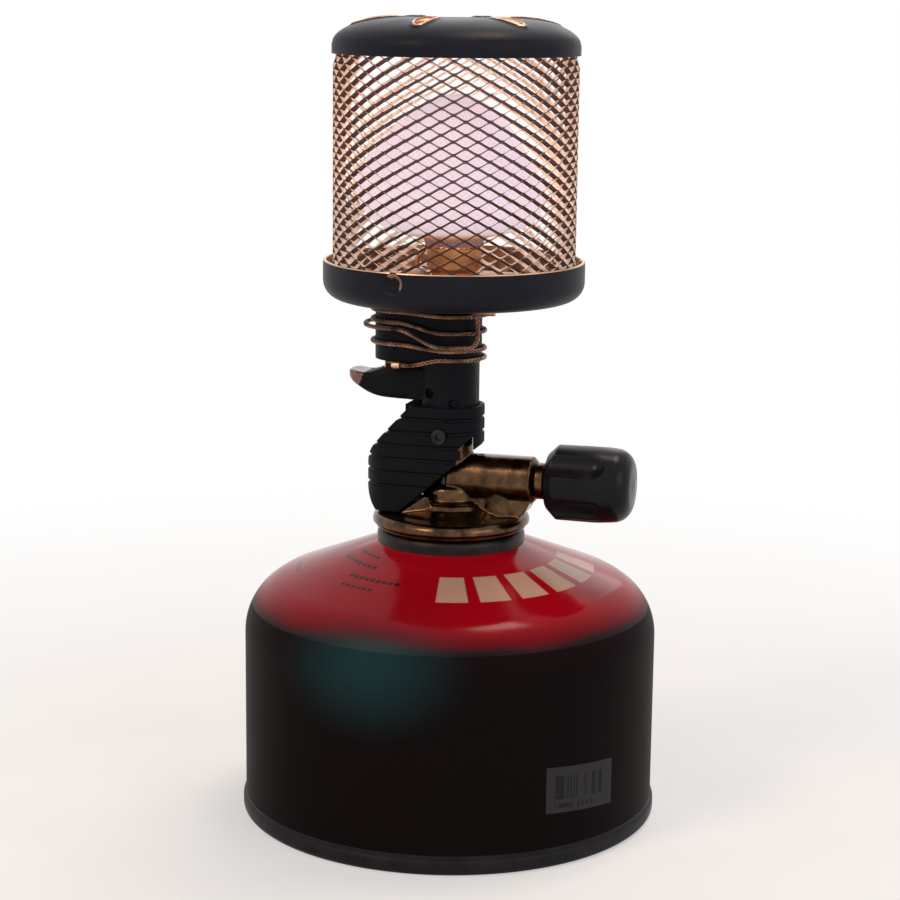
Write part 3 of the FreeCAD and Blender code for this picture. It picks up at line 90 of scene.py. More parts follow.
# Printed rows on the can's shoulder: from and to in degrees round the can, inner and outer radius, bars
SHOULDER_PRINT = [
    (-83.0, 20.0, 23.2, 31.4, 6),
    (-128.0, -98.0, 26.2, 27.2, 9),
    (-126.0, -108.0, 29.4, 30.2, 6),
    (-152.0, -118.0, 22.4, 23.4, 8),
    (-150.0, -124.0, 19.4, 20.2, 5),
    (-174.0, -158.0, 33.0, 34.0, 4),
]


# Camera

def make_camera():
    """The photograph's view: 484 mm away, 15 degrees off the valve's side, down 11.6 degrees and rolled."""
    distance = 483.7
    height = 179.1
    bearing = math.radians(15.0)
    tilt = math.radians(90.0 - 11.58)
    roll = math.radians(0.65)
    sensor = 36.0
    picture_pixels = 900
    focal_pixels = 2272
    camera = added("camera", bpy.data.cameras.new("camera"))
    stand = (distance * math.sin(bearing) * MM, -distance * math.cos(bearing) * MM, height * MM)
    camera.matrix_world = (
        Matrix.Translation(stand)
        @ Matrix.Rotation(bearing, 4, "Z")
        @ Matrix.Rotation(tilt, 4, "X")
        @ Matrix.Rotation(roll, 4, "Z")
    )
    camera.data.sensor_width = sensor
    camera.data.lens = focal_pixels / picture_pixels * sensor
    camera.data.shift_x = -0.0022
    camera.data.clip_start = 0.01
    bpy.context.scene.camera = camera


make_camera()


# Node materials

def linear(code):
    """A hex sRGB colour as linear values."""
    values = np.array([int(code[i : i + 2], 16) for i in (1, 3, 5)]) / 255.0
    values = np.where(values <= 0.04045, values / 12.92, ((values + 0.055) / 1.055) ** 2.4)
    return (*values.tolist(), 1.0)


def put(tree, kind, inputs=None, stops=(), **settings):
    """Adds a node, sets it up, fills or links its inputs, and gives its first live output.

    A colour ramp has stops of (place, colour).
    """
    node = tree.nodes.new(f"ShaderNode{kind}")
    for name, value in settings.items():
        setattr(node, name, value)
    for name, value in (inputs or {}).items():
        if isinstance(value, bpy.types.NodeSocket):
            tree.links.new(value, node.inputs[name])
        else:
            node.inputs[name].default_value = value
    if stops:
        elements = node.color_ramp.elements
        while len(elements) < len(stops):
            elements.new(0.5)
        for element, (place, colour) in zip(elements, stops):
            element.position = place
            element.color = linear(colour)
    return next(output for output in node.outputs if output.enabled)


def new_material(name, **sockets):
    """A Principled material with uniform values set on the shader's own sockets."""
    material = bpy.data.materials.new(name)
    material.use_nodes = True
    tree = material.node_tree
    shader = tree.nodes["Principled BSDF"]
    for socket, value in sockets.items():
        shader.inputs[socket.replace("_", " ")].default_value = value
    coords = tree.nodes.new("ShaderNodeTexCoord").outputs["Object"]
    return material, tree, shader, coords


def grains(per_mm):
    """Noise scale that gives this many grains to the millimetre, on Object coordinates in metres."""
    return per_mm / MM


def product(tree, *values):
    """The values multiplied together."""
    total = values[0]
    for value in values[1:]:
        total = put(tree, "Math", {0: total, 1: value}, operation="MULTIPLY")
    return total


# Settings of a step that is eased at both ends
SMOOTH = {"interpolation_type": "SMOOTHSTEP"}


def within(tree, value, start, end, edge):
    """1 between start and end and 0 outside, with soft edges of the given width."""
    sides = []
    for none, full in ((start - edge, start + edge), (end + edge, end - edge)):
        span = {"Value": value, "From Min": none, "From Max": full}
        sides.append(put(tree, "MapRange", span, **SMOOTH))
    return product(tree, *sides)


def polar_place(tree, coords):
    """A point's coordinates, and its turn about Z."""
    place = put(tree, "SeparateXYZ", {"Vector": coords}).node.outputs
    return place, put(tree, "Math", {0: place["Y"], 1: place["X"]}, operation="ARCTAN2")


def relief(tree, shader, coords, per_mm, depth):
    """Fine grain on the surface: this many grains to the millimetre, this deep in millimetres."""
    grain = put(tree, "TexNoise", {"Vector": coords, "Scale": grains(per_mm), "Detail": 2.0})
    bumped = put(tree, "Bump", {"Height": grain, "Strength": 0.6, "Distance": depth * MM})
    tree.links.new(bumped, shader.inputs["Normal"])
    return grain


def mottled(name, light, dark, grain, rough, bump, grit, **sockets):
    """A surface whose colour, gloss and relief vary together.

    grain and grit are grains to the millimetre for the colour and the relief, bump the relief's
    depth in millimetres, and rough the two ends of the roughness.
    """
    material, tree, shader, coords = new_material(name, **sockets)
    patches = put(tree, "TexNoise", {"Vector": coords, "Scale": grains(grain), "Detail": 4.0})
    tone = put(tree, "ValToRGB", {"Fac": patches}, [(0.3, dark), (0.7, light)])
    tree.links.new(tone, shader.inputs["Base Color"])
    ends = {"From Min": 0.3, "From Max": 0.7, "To Min": rough[0], "To Max": rough[1]}
    tree.links.new(put(tree, "MapRange", {"Value": patches, **ends}), shader.inputs["Roughness"])
    relief(tree, shader, coords, grit, bump)
    return material


def print_rows(tree, turn, reach):
    """One mask for each row of plain printed bars on the shoulder, from the turn and the radius of a point.

    A bar takes the middle 0.72 of its pitch.
    """
    masks = []
    for start, end, inner, outer, bars in SHOULDER_PRINT:
        pitch = math.radians(end - start) / bars
        steps = put(tree, "Math", {0: turn, 1: math.radians(start)}, operation="SUBTRACT")
        steps = put(tree, "Math", {0: steps, 1: pitch}, operation="DIVIDE")
        part = put(tree, "Math", {0: steps}, operation="FRACT")
        bar = within(tree, part, 0.14, 0.86, 0.02)
        span = within(tree, steps, 0.0, float(bars), 0.01)
        height = within(tree, reach, inner * MM, outer * MM, 0.1 * MM)
        masks.append(product(tree, bar, span, height))
    return masks


def can_print_and_reflection(name, gloss, **sockets):
    """The can's printed colours, red shoulder and near-black side, and a painted reflection: a blue-green
    glow between them.

    The side's black turns red from 47 to 51 mm up, on a line that wanders by up to 1.2 mm. The painted
    reflection is a soft spot on the side whose strength falls with the distance from its middle.
    """
    material, tree, shader, coords = new_material(name, **sockets)
    place, turn = polar_place(tree, coords)
    haze = put(tree, "TexNoise", {"Vector": coords, "Scale": grains(0.05), "Detail": 3.0})
    wander = put(tree, "MapRange", {"Value": haze, "To Min": -1.2 * MM, "To Max": 1.2 * MM})
    height = put(tree, "Math", {0: place["Z"], 1: wander}, operation="ADD")
    along = put(tree, "MapRange", {"Value": height, "From Min": 40.0 * MM, "From Max": 60.0 * MM})
    blend = [(0.0, "#150F10"), (0.34, "#190D0F"), (0.43, "#6E0612"), (0.56, "#9C0517"), (1.0, "#AE0619")]
    tone = put(tree, "ValToRGB", {"Fac": along}, blend)
    # Painted reflection: a soft blue-green spot mixed into the side's colour
    bearing = math.radians(-98.0)
    spot = (CAN_RADIUS * math.cos(bearing) * MM, CAN_RADIUS * math.sin(bearing) * MM, 44.0 * MM)
    offset = put(tree, "VectorMath", {0: coords, 1: spot}, operation="SUBTRACT")
    offset = put(tree, "VectorMath", {0: offset, 1: (1.0, 1.0, 1.35)}, operation="MULTIPLY")
    away = put(tree, "VectorMath", {0: offset}, operation="LENGTH")
    painted_reflection = put(tree, "MapRange", {"Value": away, "From Min": 25.0 * MM, "From Max": 1.0 * MM}, **SMOOTH)
    below = {"Value": place["Z"], "From Min": 55.0 * MM, "From Max": 45.0 * MM}
    strength = product(tree, painted_reflection, put(tree, "MapRange", below, **SMOOTH))
    tone = put(tree, "Mix", {0: strength, 6: tone, 7: linear("#1E393E")}, data_type="RGBA")
    flat = put(tree, "CombineXYZ", {"X": place["X"], "Y": place["Y"]})
    reach = put(tree, "VectorMath", {0: flat}, operation="LENGTH")
    inks = ["#C39A84"] + ["#3A0810"] * (len(SHOULDER_PRINT) - 1)
    for row, ink in zip(print_rows(tree, turn, reach), inks):
        tone = put(tree, "Mix", {0: row, 6: tone, 7: linear(ink)}, data_type="RGBA")
    tree.links.new(tone, shader.inputs["Base Color"])
    peel = relief(tree, shader, coords, 0.5, 0.012)
    sheen = put(tree, "MapRange", {"Value": peel, "To Min": gloss[0], "To Max": gloss[1]})
    fade = {"Value": place["Z"], "From Min": 52.0 * MM, "From Max": SIDE_TOP * MM}
    rough = put(tree, "Mix", {0: put(tree, "MapRange", fade, **SMOOTH), 2: sheen, 3: 0.45})
    tree.links.new(rough, shader.inputs["Roughness"])
    return material


def knitted_ash():
    """Burnt-in mantle of rare-earth oxide: a brittle white net that glows evenly, dimmer round its foot.

    The net is the product of 72 waves round the mantle and one up it each 1.3 mm.
    """
    material, tree, shader, coords = new_material("mantle_ash", Roughness=0.9, Emission_Strength=0.6)
    place, turn = polar_place(tree, coords)
    waves = []
    for value, rate in ((turn, 72.0), (place["Z"], TAU / (1.3 * MM))):
        wave = put(tree, "Math", {0: value, 1: rate}, operation="MULTIPLY")
        waves.append(put(tree, "Math", {0: wave}, operation="SINE"))
    net = product(tree, *waves)
    share = put(tree, "MapRange", {"Value": net, "From Min": -1.0})
    tone = put(tree, "ValToRGB", {"Fac": share}, [(0.0, "#A898A9"), (0.5, "#BCADBC"), (1.0, "#C9BCC8")])
    tree.links.new(tone, shader.inputs["Base Color"])
    foot = {"Value": place["Z"], "From Min": (mantle_low + 0.5) * MM, "From Max": (mantle_low + 5.0) * MM}
    patch = put(tree, "TexNoise", {"Vector": coords, "Scale": grains(0.12), "Detail": 3.0})
    patchy = put(tree, "MapRange", {"Value": patch, "From Min": 0.35, "From Max": 0.65, "To Min": 0.9})
    level = product(tree, put(tree, "MapRange", foot, **SMOOTH), patchy)
    heat = [(0.0, "#3A2010"), (0.4, "#C98A52"), (0.75, "#F2E0E6"), (1.0, "#F8EAF8")]
    tree.links.new(put(tree, "ValToRGB", {"Fac": level}, heat), shader.inputs["Emission Color"])
    bumped = put(tree, "Bump", {"Height": net, "Strength": 0.8, "Distance": 0.15 * MM})
    tree.links.new(bumped, shader.inputs["Normal"])
    return material


# Light and dark, grains of the colour, roughness, depth and grains of the relief
ENAMEL = ("#22232C", "#17181F", 0.08, (0.36, 0.48), 0.025, 1.5)


def dimpled_enamel():
    """The pan's black enamel, with a painted highlight: a pale metal crescent along the upper edge of each
    dimple.

    The crescent is a ring round the dimple's middle, in metres along the wall and up it, times a
    step across a line that leans to its upper right.
    """
    material = mottled("dimpled_enamel", *ENAMEL, Specular_IOR_Level=0.08)
    tree = material.node_tree
    shader = tree.nodes["Principled BSDF"]
    colour = shader.inputs["Base Color"]
    place, turn = polar_place(tree, tree.nodes["Texture Coordinate"].outputs["Object"])
    sector = TAU / DIMPLES
    turn = put(tree, "Math", {0: turn, 1: DIMPLE_TURN - sector / 2}, operation="SUBTRACT")
    turn = put(tree, "Math", {0: turn, 1: sector}, operation="FLOORED_MODULO")
    turn = put(tree, "Math", {0: turn, 1: sector / 2}, operation="SUBTRACT")
    away = product(tree, turn, DIMPLE_REACH * MM)
    rise = put(tree, "Math", {0: place["Z"], 1: dimple_z * MM}, operation="SUBTRACT")
    spot = put(tree, "CombineXYZ", {"X": away, "Y": rise})
    distance = put(tree, "VectorMath", {0: spot}, operation="LENGTH")
    side = put(tree, "Math", {0: away, 1: rise}, operation="ADD")
    ring = within(tree, distance, 1.25 * MM, 2.05 * MM, 0.12 * MM)
    step = put(tree, "MapRange", {"Value": side, "From Min": 0.0, "From Max": 0.9 * MM}, **SMOOTH)
    # Painted highlight: a pale, metallic crescent on the upper right of each dimple
    painted_glint = product(tree, ring, step)
    pale_marks = {0: painted_glint, 6: colour.links[0].from_socket, 7: linear("#DDB394")}
    tree.links.new(put(tree, "Mix", pale_marks, data_type="RGBA"), colour)
    tree.links.new(painted_glint, shader.inputs["Metallic"])
    return material


def bar_label():
    """Plain paper sticker, matt, its paper painted dark grey as painted shade, with a block of upright bars
    and a row of short ones under it.

    It reads the sticker's own UV map. A bar is dark where the noise of its column is over one half.
    """
    material, tree, shader, coords = new_material("label_paper", Roughness=0.7, Specular_IOR_Level=0.2)
    place = put(tree, "SeparateXYZ", {"Vector": put(tree, "UVMap")}).node.outputs
    # Painted shade: the paper's colour is dark grey
    tone = linear("#2C2B2F")
    for columns, bottom, top, left, right in ((46.0, 0.3, 0.8, 0.12, 0.9), (30.0, 0.1, 0.2, 0.12, 0.84)):
        column = put(tree, "Math", {0: place["X"], 1: columns}, operation="MULTIPLY")
        column = put(tree, "Math", {0: column}, operation="FLOOR")
        chance = put(tree, "TexWhiteNoise", {"W": column}, noise_dimensions="1D")
        dark = put(tree, "Math", {0: chance, 1: 0.5}, operation="GREATER_THAN")
        across = within(tree, place["Y"], bottom, top, 0.01)
        mask = product(tree, dark, across, within(tree, place["X"], left, right, 0.005))
        tone = put(tree, "Mix", {0: mask, 6: tone, 7: linear("#131215")}, data_type="RGBA")
    fibre = put(tree, "TexNoise", {"Vector": coords, "Scale": grains(2.0)})
    pale_marks = put(tree, "MapRange", {"Value": fibre, "From Min": 0.55, "From Max": 0.8, "To Max": 0.25})
    tone = put(tree, "Mix", {0: pale_marks, 6: tone, 7: linear("#3C3B40")}, data_type="RGBA")
    tree.links.new(tone, shader.inputs["Base Color"])
    relief(tree, shader, coords, 3.0, 0.01)
    return material


# Gloss lacquer over print: deep red with sharp lamp reflections and a faint orange peel
shoulder_lacquer = can_print_and_reflection("shoulder_lacquer", (0.1, 0.18), Specular_IOR_Level=0.09)
# The same print rubbed dull by handling, nearly without shine
side_lacquer = can_print_and_reflection("side_lacquer", (0.42, 0.55), Specular_IOR_Level=0.02)
# A net of burnt oxide: it glows
ash = knitted_ash()
# Thin paper, printed black: matt, its paper painted dark grey as painted shade
sticker = bar_label()
# Heat-proof enamel, with a painted highlight of pale steel at the upper edge of each dimple that grips the
# globe
pan_enamel = dimpled_enamel()
# Drawn tinplate coloured nearly black, as painted shade at the can's foot, with a soft shine along the roll
shaded_seam = mottled(
    "shaded_seam", "#29282B", "#18171A", 0.15, (0.34, 0.48), 0.02, 2.0, Specular_IOR_Level=0.08
)
# Tinplate of the valve cup, coloured dark as painted shade under the valve's flange: a dull, brownish metal
shaded_tin = mottled("shaded_tin", "#2E2625", "#191515", 0.25, (0.34, 0.5), 0.02, 2.5, Metallic=0.8)
# Cast brass, tumbled, then browned: deep brown hollows and peach lights on its edges
cast_brass = mottled("cast_brass", "#684E36", "#2E241C", 0.4, (0.17, 0.27), 0.03, 1.6, Metallic=1.0)
# Turned brass, brighter and smoother than the casting
turned_brass = mottled("turned_brass", "#A47C58", "#6E5238", 0.3, (0.16, 0.28), 0.008, 4.0, Metallic=1.0)
# Moulded nylon with a fine spark-eroded grain: blue-black and satin
moulded_nylon = mottled(
    "moulded_nylon", "#17181D", "#101116", 0.1, (0.42, 0.55), 0.03, 3.0, Specular_IOR_Level=0.06
)
# The trigger's tip, painted brown and shiny as a highlight of the warm light on its end
tip_sheen_nylon = mottled(
    "tip_sheen_nylon", "#8E6759", "#6E4C40", 0.4, (0.25, 0.36), 0.02, 2.5, Specular_IOR_Level=0.5
)
# Moulded knob, polished by fingers: black with clear lights along its ribs
knob_nylon = mottled(
    "knob_nylon", "#1A1A1E", "#101014", 0.15, (0.2, 0.3), 0.02, 2.5, Specular_IOR_Level=0.12
)
# Heat-proof enamel on pressed steel: blue-grey black, satin, faintly uneven
black_enamel = mottled("black_enamel", *ENAMEL, Specular_IOR_Level=0.08)
# Blackened steel of screws and springs
dark_steel = mottled("dark_steel", "#38363A", "#1F1E20", 0.4, (0.3, 0.45), 0.01, 3.0, Metallic=1.0)
# Stainless steel that the flame has coloured: straw to peach, with brown patches; on the pan's inside and rim
# and on the cap's lips it is painted light of the flame
tinted_and_lit_steel = mottled("tinted_and_lit_steel", "#DDB394", "#A67C5E", 0.12, (0.28, 0.42), 0.01, 3.0, Metallic=1.0)
# Burner brass, hot and bright at its edges
burner_brass = mottled("burner_brass", "#E3AE7C", "#9C6A44", 0.25, (0.25, 0.4), 0.012, 2.0, Metallic=0.9)
# Expanded steel scaled by heat: dark red-brown and dull outside
oxidised_mesh = mottled("oxidised_mesh", "#54302A", "#2C1614", 0.3, (0.4, 0.6), 0.01, 4.0, Metallic=0.2)
# The mesh's side that looks at the flame, painted as lit by it: cream with warm patches, and a painted glow
# of its own
painted_glow = {"Emission_Color": linear("#FFE0CC"), "Emission_Strength": 0.3}
lit_inner_mesh = mottled("lit_inner_mesh", "#EBDACB", "#D8B394", 0.25, (0.5, 0.65), 0.01, 4.0, **painted_glow)
# Stranded stainless wire: peach-grey strands with bright tops and brown hollows
strand_steel = mottled("strand_steel", "#A67E69", "#3C2C26", 0.35, (0.2, 0.3), 0.01, 4.0, Metallic=1.0)
# Natural acetal of the inner parts: milky and smooth
white_plastic = mottled("white_plastic", "#D9D8D2", "#CCCBC4", 0.2, (0.4, 0.5), 0.01, 2.0)
# Nitrile rubber: matt black
soft_rubber = mottled("soft_rubber", "#1A1A1A", "#121212", 0.3, (0.6, 0.75), 0.02, 3.0)
# Glazed alumina: white with a wet shine
glazed_ceramic = mottled("glazed_ceramic", "#E6E2D8", "#D6D1C4", 0.2, (0.15, 0.25), 0.01, 2.0)
# Silicone sleeve of the lead: brick red and matt
silicone = mottled("silicone", "#7A2019", "#651812", 0.3, (0.5, 0.6), 0.01, 2.0)

finishes = {
    "cartridge_shell": side_lacquer,
    "cartridge_base": shaded_seam,
    "valve_cup": shaded_tin,
    "cartridge_valve_housing": white_plastic,
    "cartridge_gasket": soft_rubber,
    "cartridge_valve_stem": white_plastic,
    "cartridge_valve_spring": dark_steel,
    "valve_body": cast_brass,
    "inlet_seal": soft_rubber,
    "inlet_pin": turned_brass,
    "valve_spindle": turned_brass,
    "spindle_seal": soft_rubber,
    "gland_bush": cast_brass,
    "control_knob": knob_nylon,
    "jet": turned_brass,
    "grip_front": moulded_nylon,
    "grip_rear": moulded_nylon,
    "housing_screws": dark_steel,
    "neck_housing": moulded_nylon,
    "piezo_unit": moulded_nylon,
    "piezo_plunger": white_plastic,
    "igniter_trigger": moulded_nylon,
    "ignition_lead": silicone,
    "mixing_tube": turned_brass,
    "base_pan": black_enamel,
    "pan_nut": turned_brass,
    "pan_screw": dark_steel,
    "burner_head": burner_brass,
    "mantle": ash,
    "electrode_insulator": glazed_ceramic,
    "spark_electrode": tinted_and_lit_steel,
    "mesh_globe": oxidised_mesh,
    "globe_cap": black_enamel,
    "suspension_wire": strand_steel,
    "wire_anchor": tinted_and_lit_steel,
    "wire_ferrule": tinted_and_lit_steel,
}
for name, material in finishes.items():
    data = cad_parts[name].data
    data.materials.clear()
    data.materials.append(material)


# Stage and light

def add_lamp(name, kind, place, power, colour):
    """A lamp of a kind at a place in metres, with its power in watts."""
    lamp = added(name, bpy.data.lights.new(name, kind))
    lamp.data.energy = power
    lamp.data.color = linear(colour)[:3]
    lamp.location = place
    return lamp


def make_stage():
    """A pale floor, white beyond the object, with four soft lamps, a pale sky and the flame's own light."""
    floor_paint, tree, shader, coords = new_material("pale_floor", Roughness=0.8, Specular_IOR_Level=0.1)
    fleck = put(tree, "TexNoise", {"Vector": coords, "Scale": 30.0, "Detail": 2.0})
    tone = put(tree, "ValToRGB", {"Fac": fleck}, [(0.4, "#F4F3F2"), (0.6, "#F8F7F6")])
    tree.links.new(tone, shader.inputs["Base Color"])
    away = put(tree, "VectorMath", {0: coords}, operation="LENGTH")
    white = put(tree, "Emission", {"Strength": 1.0})
    whiter = {"Value": away, "From Min": 0.05, "From Max": 0.35, "To Min": 0.45, "To Max": 1.0}
    far = product(tree, put(tree, "MapRange", whiter, **SMOOTH), shown_rays(tree))
    blend = put(tree, "MixShader", {0: far, 1: shader.outputs["BSDF"], 2: white})
    tree.links.new(blend, tree.nodes["Material Output"].inputs["Surface"])
    across = np.linspace(-4.0, 4.0, 41) / MM
    grid = np.stack(np.meshgrid(across, across, [0.0], indexing="ij"), axis=-1)[:, :, 0]
    surface("floor", [(grid[:, ::-1], False, False)], floor_paint, merge=False)
    lamps = [
        ("key", (-0.5, -0.75, 0.85), 0.32, 4.2, "#FFE0C4"),
        ("fill", (0.9, -0.45, 0.5), 0.6, 2.2, "#F2F4FF"),
        ("top", (0.15, 0.25, 1.1), 0.32, 4.4, "#FFE8D6"),
        ("back", (-0.2, 0.95, 0.6), 0.7, 1.6, "#FFFFFF"),
    ]
    target = np.array([0.0, 0.0, 0.09])
    for name, place, size, power, colour in lamps:
        lamp = add_lamp(name, "AREA", place, power, colour)
        lamp.data.size = size
        aim = target - np.array(place)
        tilt = math.atan2(math.hypot(aim[0], aim[1]), -aim[2])
        lamp.rotation_euler = (tilt, 0.0, math.atan2(aim[1], aim[0]) - math.pi / 2)
    flame = add_lamp("flame", "POINT", (0.0, 0.0, 143.0 * MM), 0.16, "#FFDCCB")
    flame.data.shadow_soft_size = 21.4 * MM
    flame.visible_camera = False
    world = bpy.data.worlds.new("sky")
    bpy.context.scene.world = world
    world.use_nodes = True
    tree = world.node_tree
    sky = tree.nodes["Background"]
    sky.inputs["Color"].default_value = linear("#FFFFFF")
    strength = put(tree, "MapRange", {"Value": shown_rays(tree), "To Min": 0.3, "To Max": 1.0})
    tree.links.new(strength, sky.inputs["Strength"])
    bpy.context.scene.view_settings.view_transform = "Standard"


def shown_rays(tree):
    """1 for what is seen by the eye, in metal or through glass, and 0 for soft light."""
    path = tree.nodes.new("ShaderNodeLightPath").outputs
    shown = path["Is Camera Ray"]
    for kind in ("Is Glossy Ray", "Is Transmission Ray"):
        shown = put(tree, "Math", {0: shown, 1: path[kind]}, operation="MAXIMUM")
    return shown


# Meshes

def merge_points(mesh, face_outwards):
    """Merges a mesh's equal points, and turns its faces outwards if asked."""
    edit = bmesh.new()
    edit.from_mesh(mesh)
    bmesh.ops.remove_doubles(edit, verts=edit.verts, dist=1e-6)
    if face_outwards:
        bmesh.ops.recalc_face_normals(edit, faces=edit.faces)
    edit.to_mesh(mesh)
    edit.free()


def surface(name, grids, material, merge=True, sharp=35.0):
    """One mesh from grids of points in millimetres, given as (points, closed along rows, closed across).

    Each cell of a grid becomes a quad. Equal points are merged, faces point outwards, and edges
    sharper than an angle stay sharp.
    """
    points = []
    quads = []
    offset = 0
    for grid, close_rows, close_columns in grids:
        grid = np.asarray(grid, float)
        rows, columns = grid.shape[:2]
        index = np.arange(rows * columns).reshape(rows, columns) + offset
        if close_rows:
            index = np.vstack([index, index[:1]])
        if close_columns:
            index = np.hstack([index, index[:, :1]])
        cell = [index[:-1, :-1], index[1:, :-1], index[1:, 1:], index[:-1, 1:]]
        quads.append(np.stack(cell, axis=-1).reshape(-1, 4))
        points.append(grid.reshape(-1, 3) * MM)
        offset += rows * columns
    mesh = bpy.data.meshes.new(name)
    mesh.from_pydata(np.concatenate(points).tolist(), [], np.concatenate(quads).tolist())
    if merge:
        merge_points(mesh, True)
    mesh.polygons.foreach_set("use_smooth", np.ones(len(mesh.polygons), bool))
    mesh.set_sharp_from_angle(angle=math.radians(sharp))
    mesh.materials.append(material)
    return added(name, mesh)


def read(items, field, width, kind=float):
    """A field of a mesh's items as rows of numbers."""
    values = np.empty(len(items) * width, kind)
    items.foreach_get(field, values)
    return values.reshape(-1, width)


def rounded(corners, steps=6, closed=True):
    """A profile whose corners (a, b, radius) are replaced by arcs that touch both sides."""
    points = []
    for index, corner in enumerate(corners):
        here = np.array(corner[:2], float)
        at_end = not closed and index in (0, len(corners) - 1)
        if len(corner) < 3 or at_end:
            points.append(here)
            continue
        before = np.array(corners[index - 1][:2]) - here
        after = np.array(corners[(index + 1) % len(corners)][:2]) - here
        before /= np.linalg.norm(before)
        after /= np.linalg.norm(after)
        half = math.acos(np.clip(before @ after, -1.0, 1.0)) / 2
        middle = here + (before + after) / np.linalg.norm(before + after) * corner[2] / math.sin(half)
        ends = [here + side * corner[2] / math.tan(half) - middle for side in (before, after)]
        begin = math.atan2(ends[0][1], ends[0][0])
        sweep = (math.atan2(ends[1][1], ends[1][0]) - begin + math.pi) % TAU - math.pi
        angles = begin + sweep * np.linspace(0.0, 1.0, steps + 1)
        points.extend(middle + corner[2] * np.stack([np.cos(angles), np.sin(angles)], axis=-1))
    return np.array(points)


def evened(points, count=None, pitch=None):
    """Points spread evenly along the line through these: a count of them, or one each pitch."""
    lengths = np.linalg.norm(np.diff(points, axis=0), axis=1)
    steps = np.concatenate([[0.0], np.cumsum(lengths)])
    even = np.linspace(0.0, steps[-1], count) if count else np.arange(0.0, steps[-1], pitch)
    return np.stack([np.interp(even, steps, column) for column in points.T], axis=-1)


def smoothed(values, width):
    """Each value averaged with its neighbours by a bell curve of this many samples."""
    kernel = np.hanning(width) / np.hanning(width).sum()
    return np.convolve(np.pad(values, width // 2, mode="edge"), kernel, mode="valid")


def around(count):
    """This many angles, spread evenly over one turn."""
    return np.linspace(0.0, TAU, count, endpoint=False)


def polar(radius, turn, height):
    """Points from their radius and turn about Z and their height."""
    return np.stack(np.broadcast_arrays(radius * np.cos(turn), radius * np.sin(turn), height), axis=-1)


def turned(profile, sides):
    """Grid of a closed profile of (radius, height) turned about Z."""
    return polar(profile[:, :1], around(sides), profile[:, 1:]), True, True


def second_finish(piece, material, rule):
    """Gives another finish to the faces that a rule picks from their middles, in millimetres, and normals."""
    mesh = piece.data
    picked = rule(read(mesh.polygons, "center", 3) / MM, read(mesh.polygons, "normal", 3))
    mesh.materials.append(material)
    mesh.polygons.foreach_set("material_index", picked.astype(int))


def looks_in(middles, normals):
    """Faces that look towards the lantern's axis."""
    reach = np.hypot(middles[:, 0], middles[:, 1])
    return (middles[:, :2] * normals[:, :2]).sum(axis=1) / reach < -0.15


def dress(piece, body, node):
    """The piece rides on a body and stands for this CAD solid, which is hidden."""
    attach(piece, body)
    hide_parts(node)
    return piece


def softened(node, body, voxel):
    """A copy of a CAD solid with the small radii that a mould or a casting leaves on every edge.

    The copy is remeshed on a cubic grid of one voxel and its points are then averaged four times.
    """
    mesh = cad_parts[node].data.copy()
    merge_points(mesh, False)
    piece = added(f"{node}_softened", mesh)
    remesh = piece.modifiers.new("remesh", "REMESH")
    remesh.mode = "VOXEL"
    remesh.voxel_size = voxel * MM
    remesh.use_smooth_shade = True
    smooth = piece.modifiers.new("smooth", "SMOOTH")
    smooth.factor = 0.5
    smooth.iterations = 4
    view = bpy.context.evaluated_depsgraph_get()
    shaped = bpy.data.meshes.new_from_object(piece.evaluated_get(view))
    piece.modifiers.clear()
    piece.data = shaped
    shaped.materials.clear()
    shaped.materials.append(finishes[node])
    return dress(piece, body, node)


def cartridge():
    """Drawn can with its shoulder arc, and the rolled seam it stands on."""
    wall = 0.4
    side_foot = 4.3
    mouth_radius = 13.2
    mouth = high("cartridge_shell")
    cone_radius, cone_height = 36.72, 52.21
    shoulder = cone_height - (CAN_RADIUS - cone_radius) * math.tan(math.radians(21.3))
    shoulder_radius = 13.0
    inner_side = CAN_RADIUS - wall
    outer = [
        (mouth_radius, mouth),
        (CAN_RADIUS, shoulder, shoulder_radius),
        (CAN_RADIUS, side_foot),
        (inner_side, side_foot),
    ]
    inner = [(inner_side, shoulder - 0.3, shoulder_radius - wall), (mouth_radius, mouth - wall)]
    can = surface("can", [turned(rounded(outer[::-1] + inner[::-1], 24), 256)], side_lacquer)
    second_finish(can, shoulder_lacquer, lambda middles, normals: middles[:, 2] > SIDE_TOP)
    dress(can, "cartridge", "cartridge_shell")
    dome_radius = 42.2
    dome_foot = 2.0
    dome_rise = 6.5
    rise = np.linspace(0.0, 1.0, 12)
    dome = np.stack([dome_radius * (1 - rise), dome_foot + dome_rise * (1 - (1 - rise) ** 2)], axis=-1)
    under = dome[::-1] - (0.0, 0.5)
    seam_radius = 45.6
    roll = [
        (dome_radius, dome_foot - 0.5),
        (43.2, 0.0, 0.5),
        (seam_radius, 0.0, 1.3),
        (seam_radius, 3.3, 1.0),
        (45.1, 3.5, 0.2),
        (45.1, side_foot, 0.2),
        (43.2, side_foot),
        (43.2, 2.6),
        (42.3, dome_foot),
    ]
    section = np.concatenate([under, rounded(roll, 6, False), dome[1:]])
    base = surface("can_seam", [turned(section, 256)], shaded_seam)
    dress(base, "cartridge", "cartridge_base")


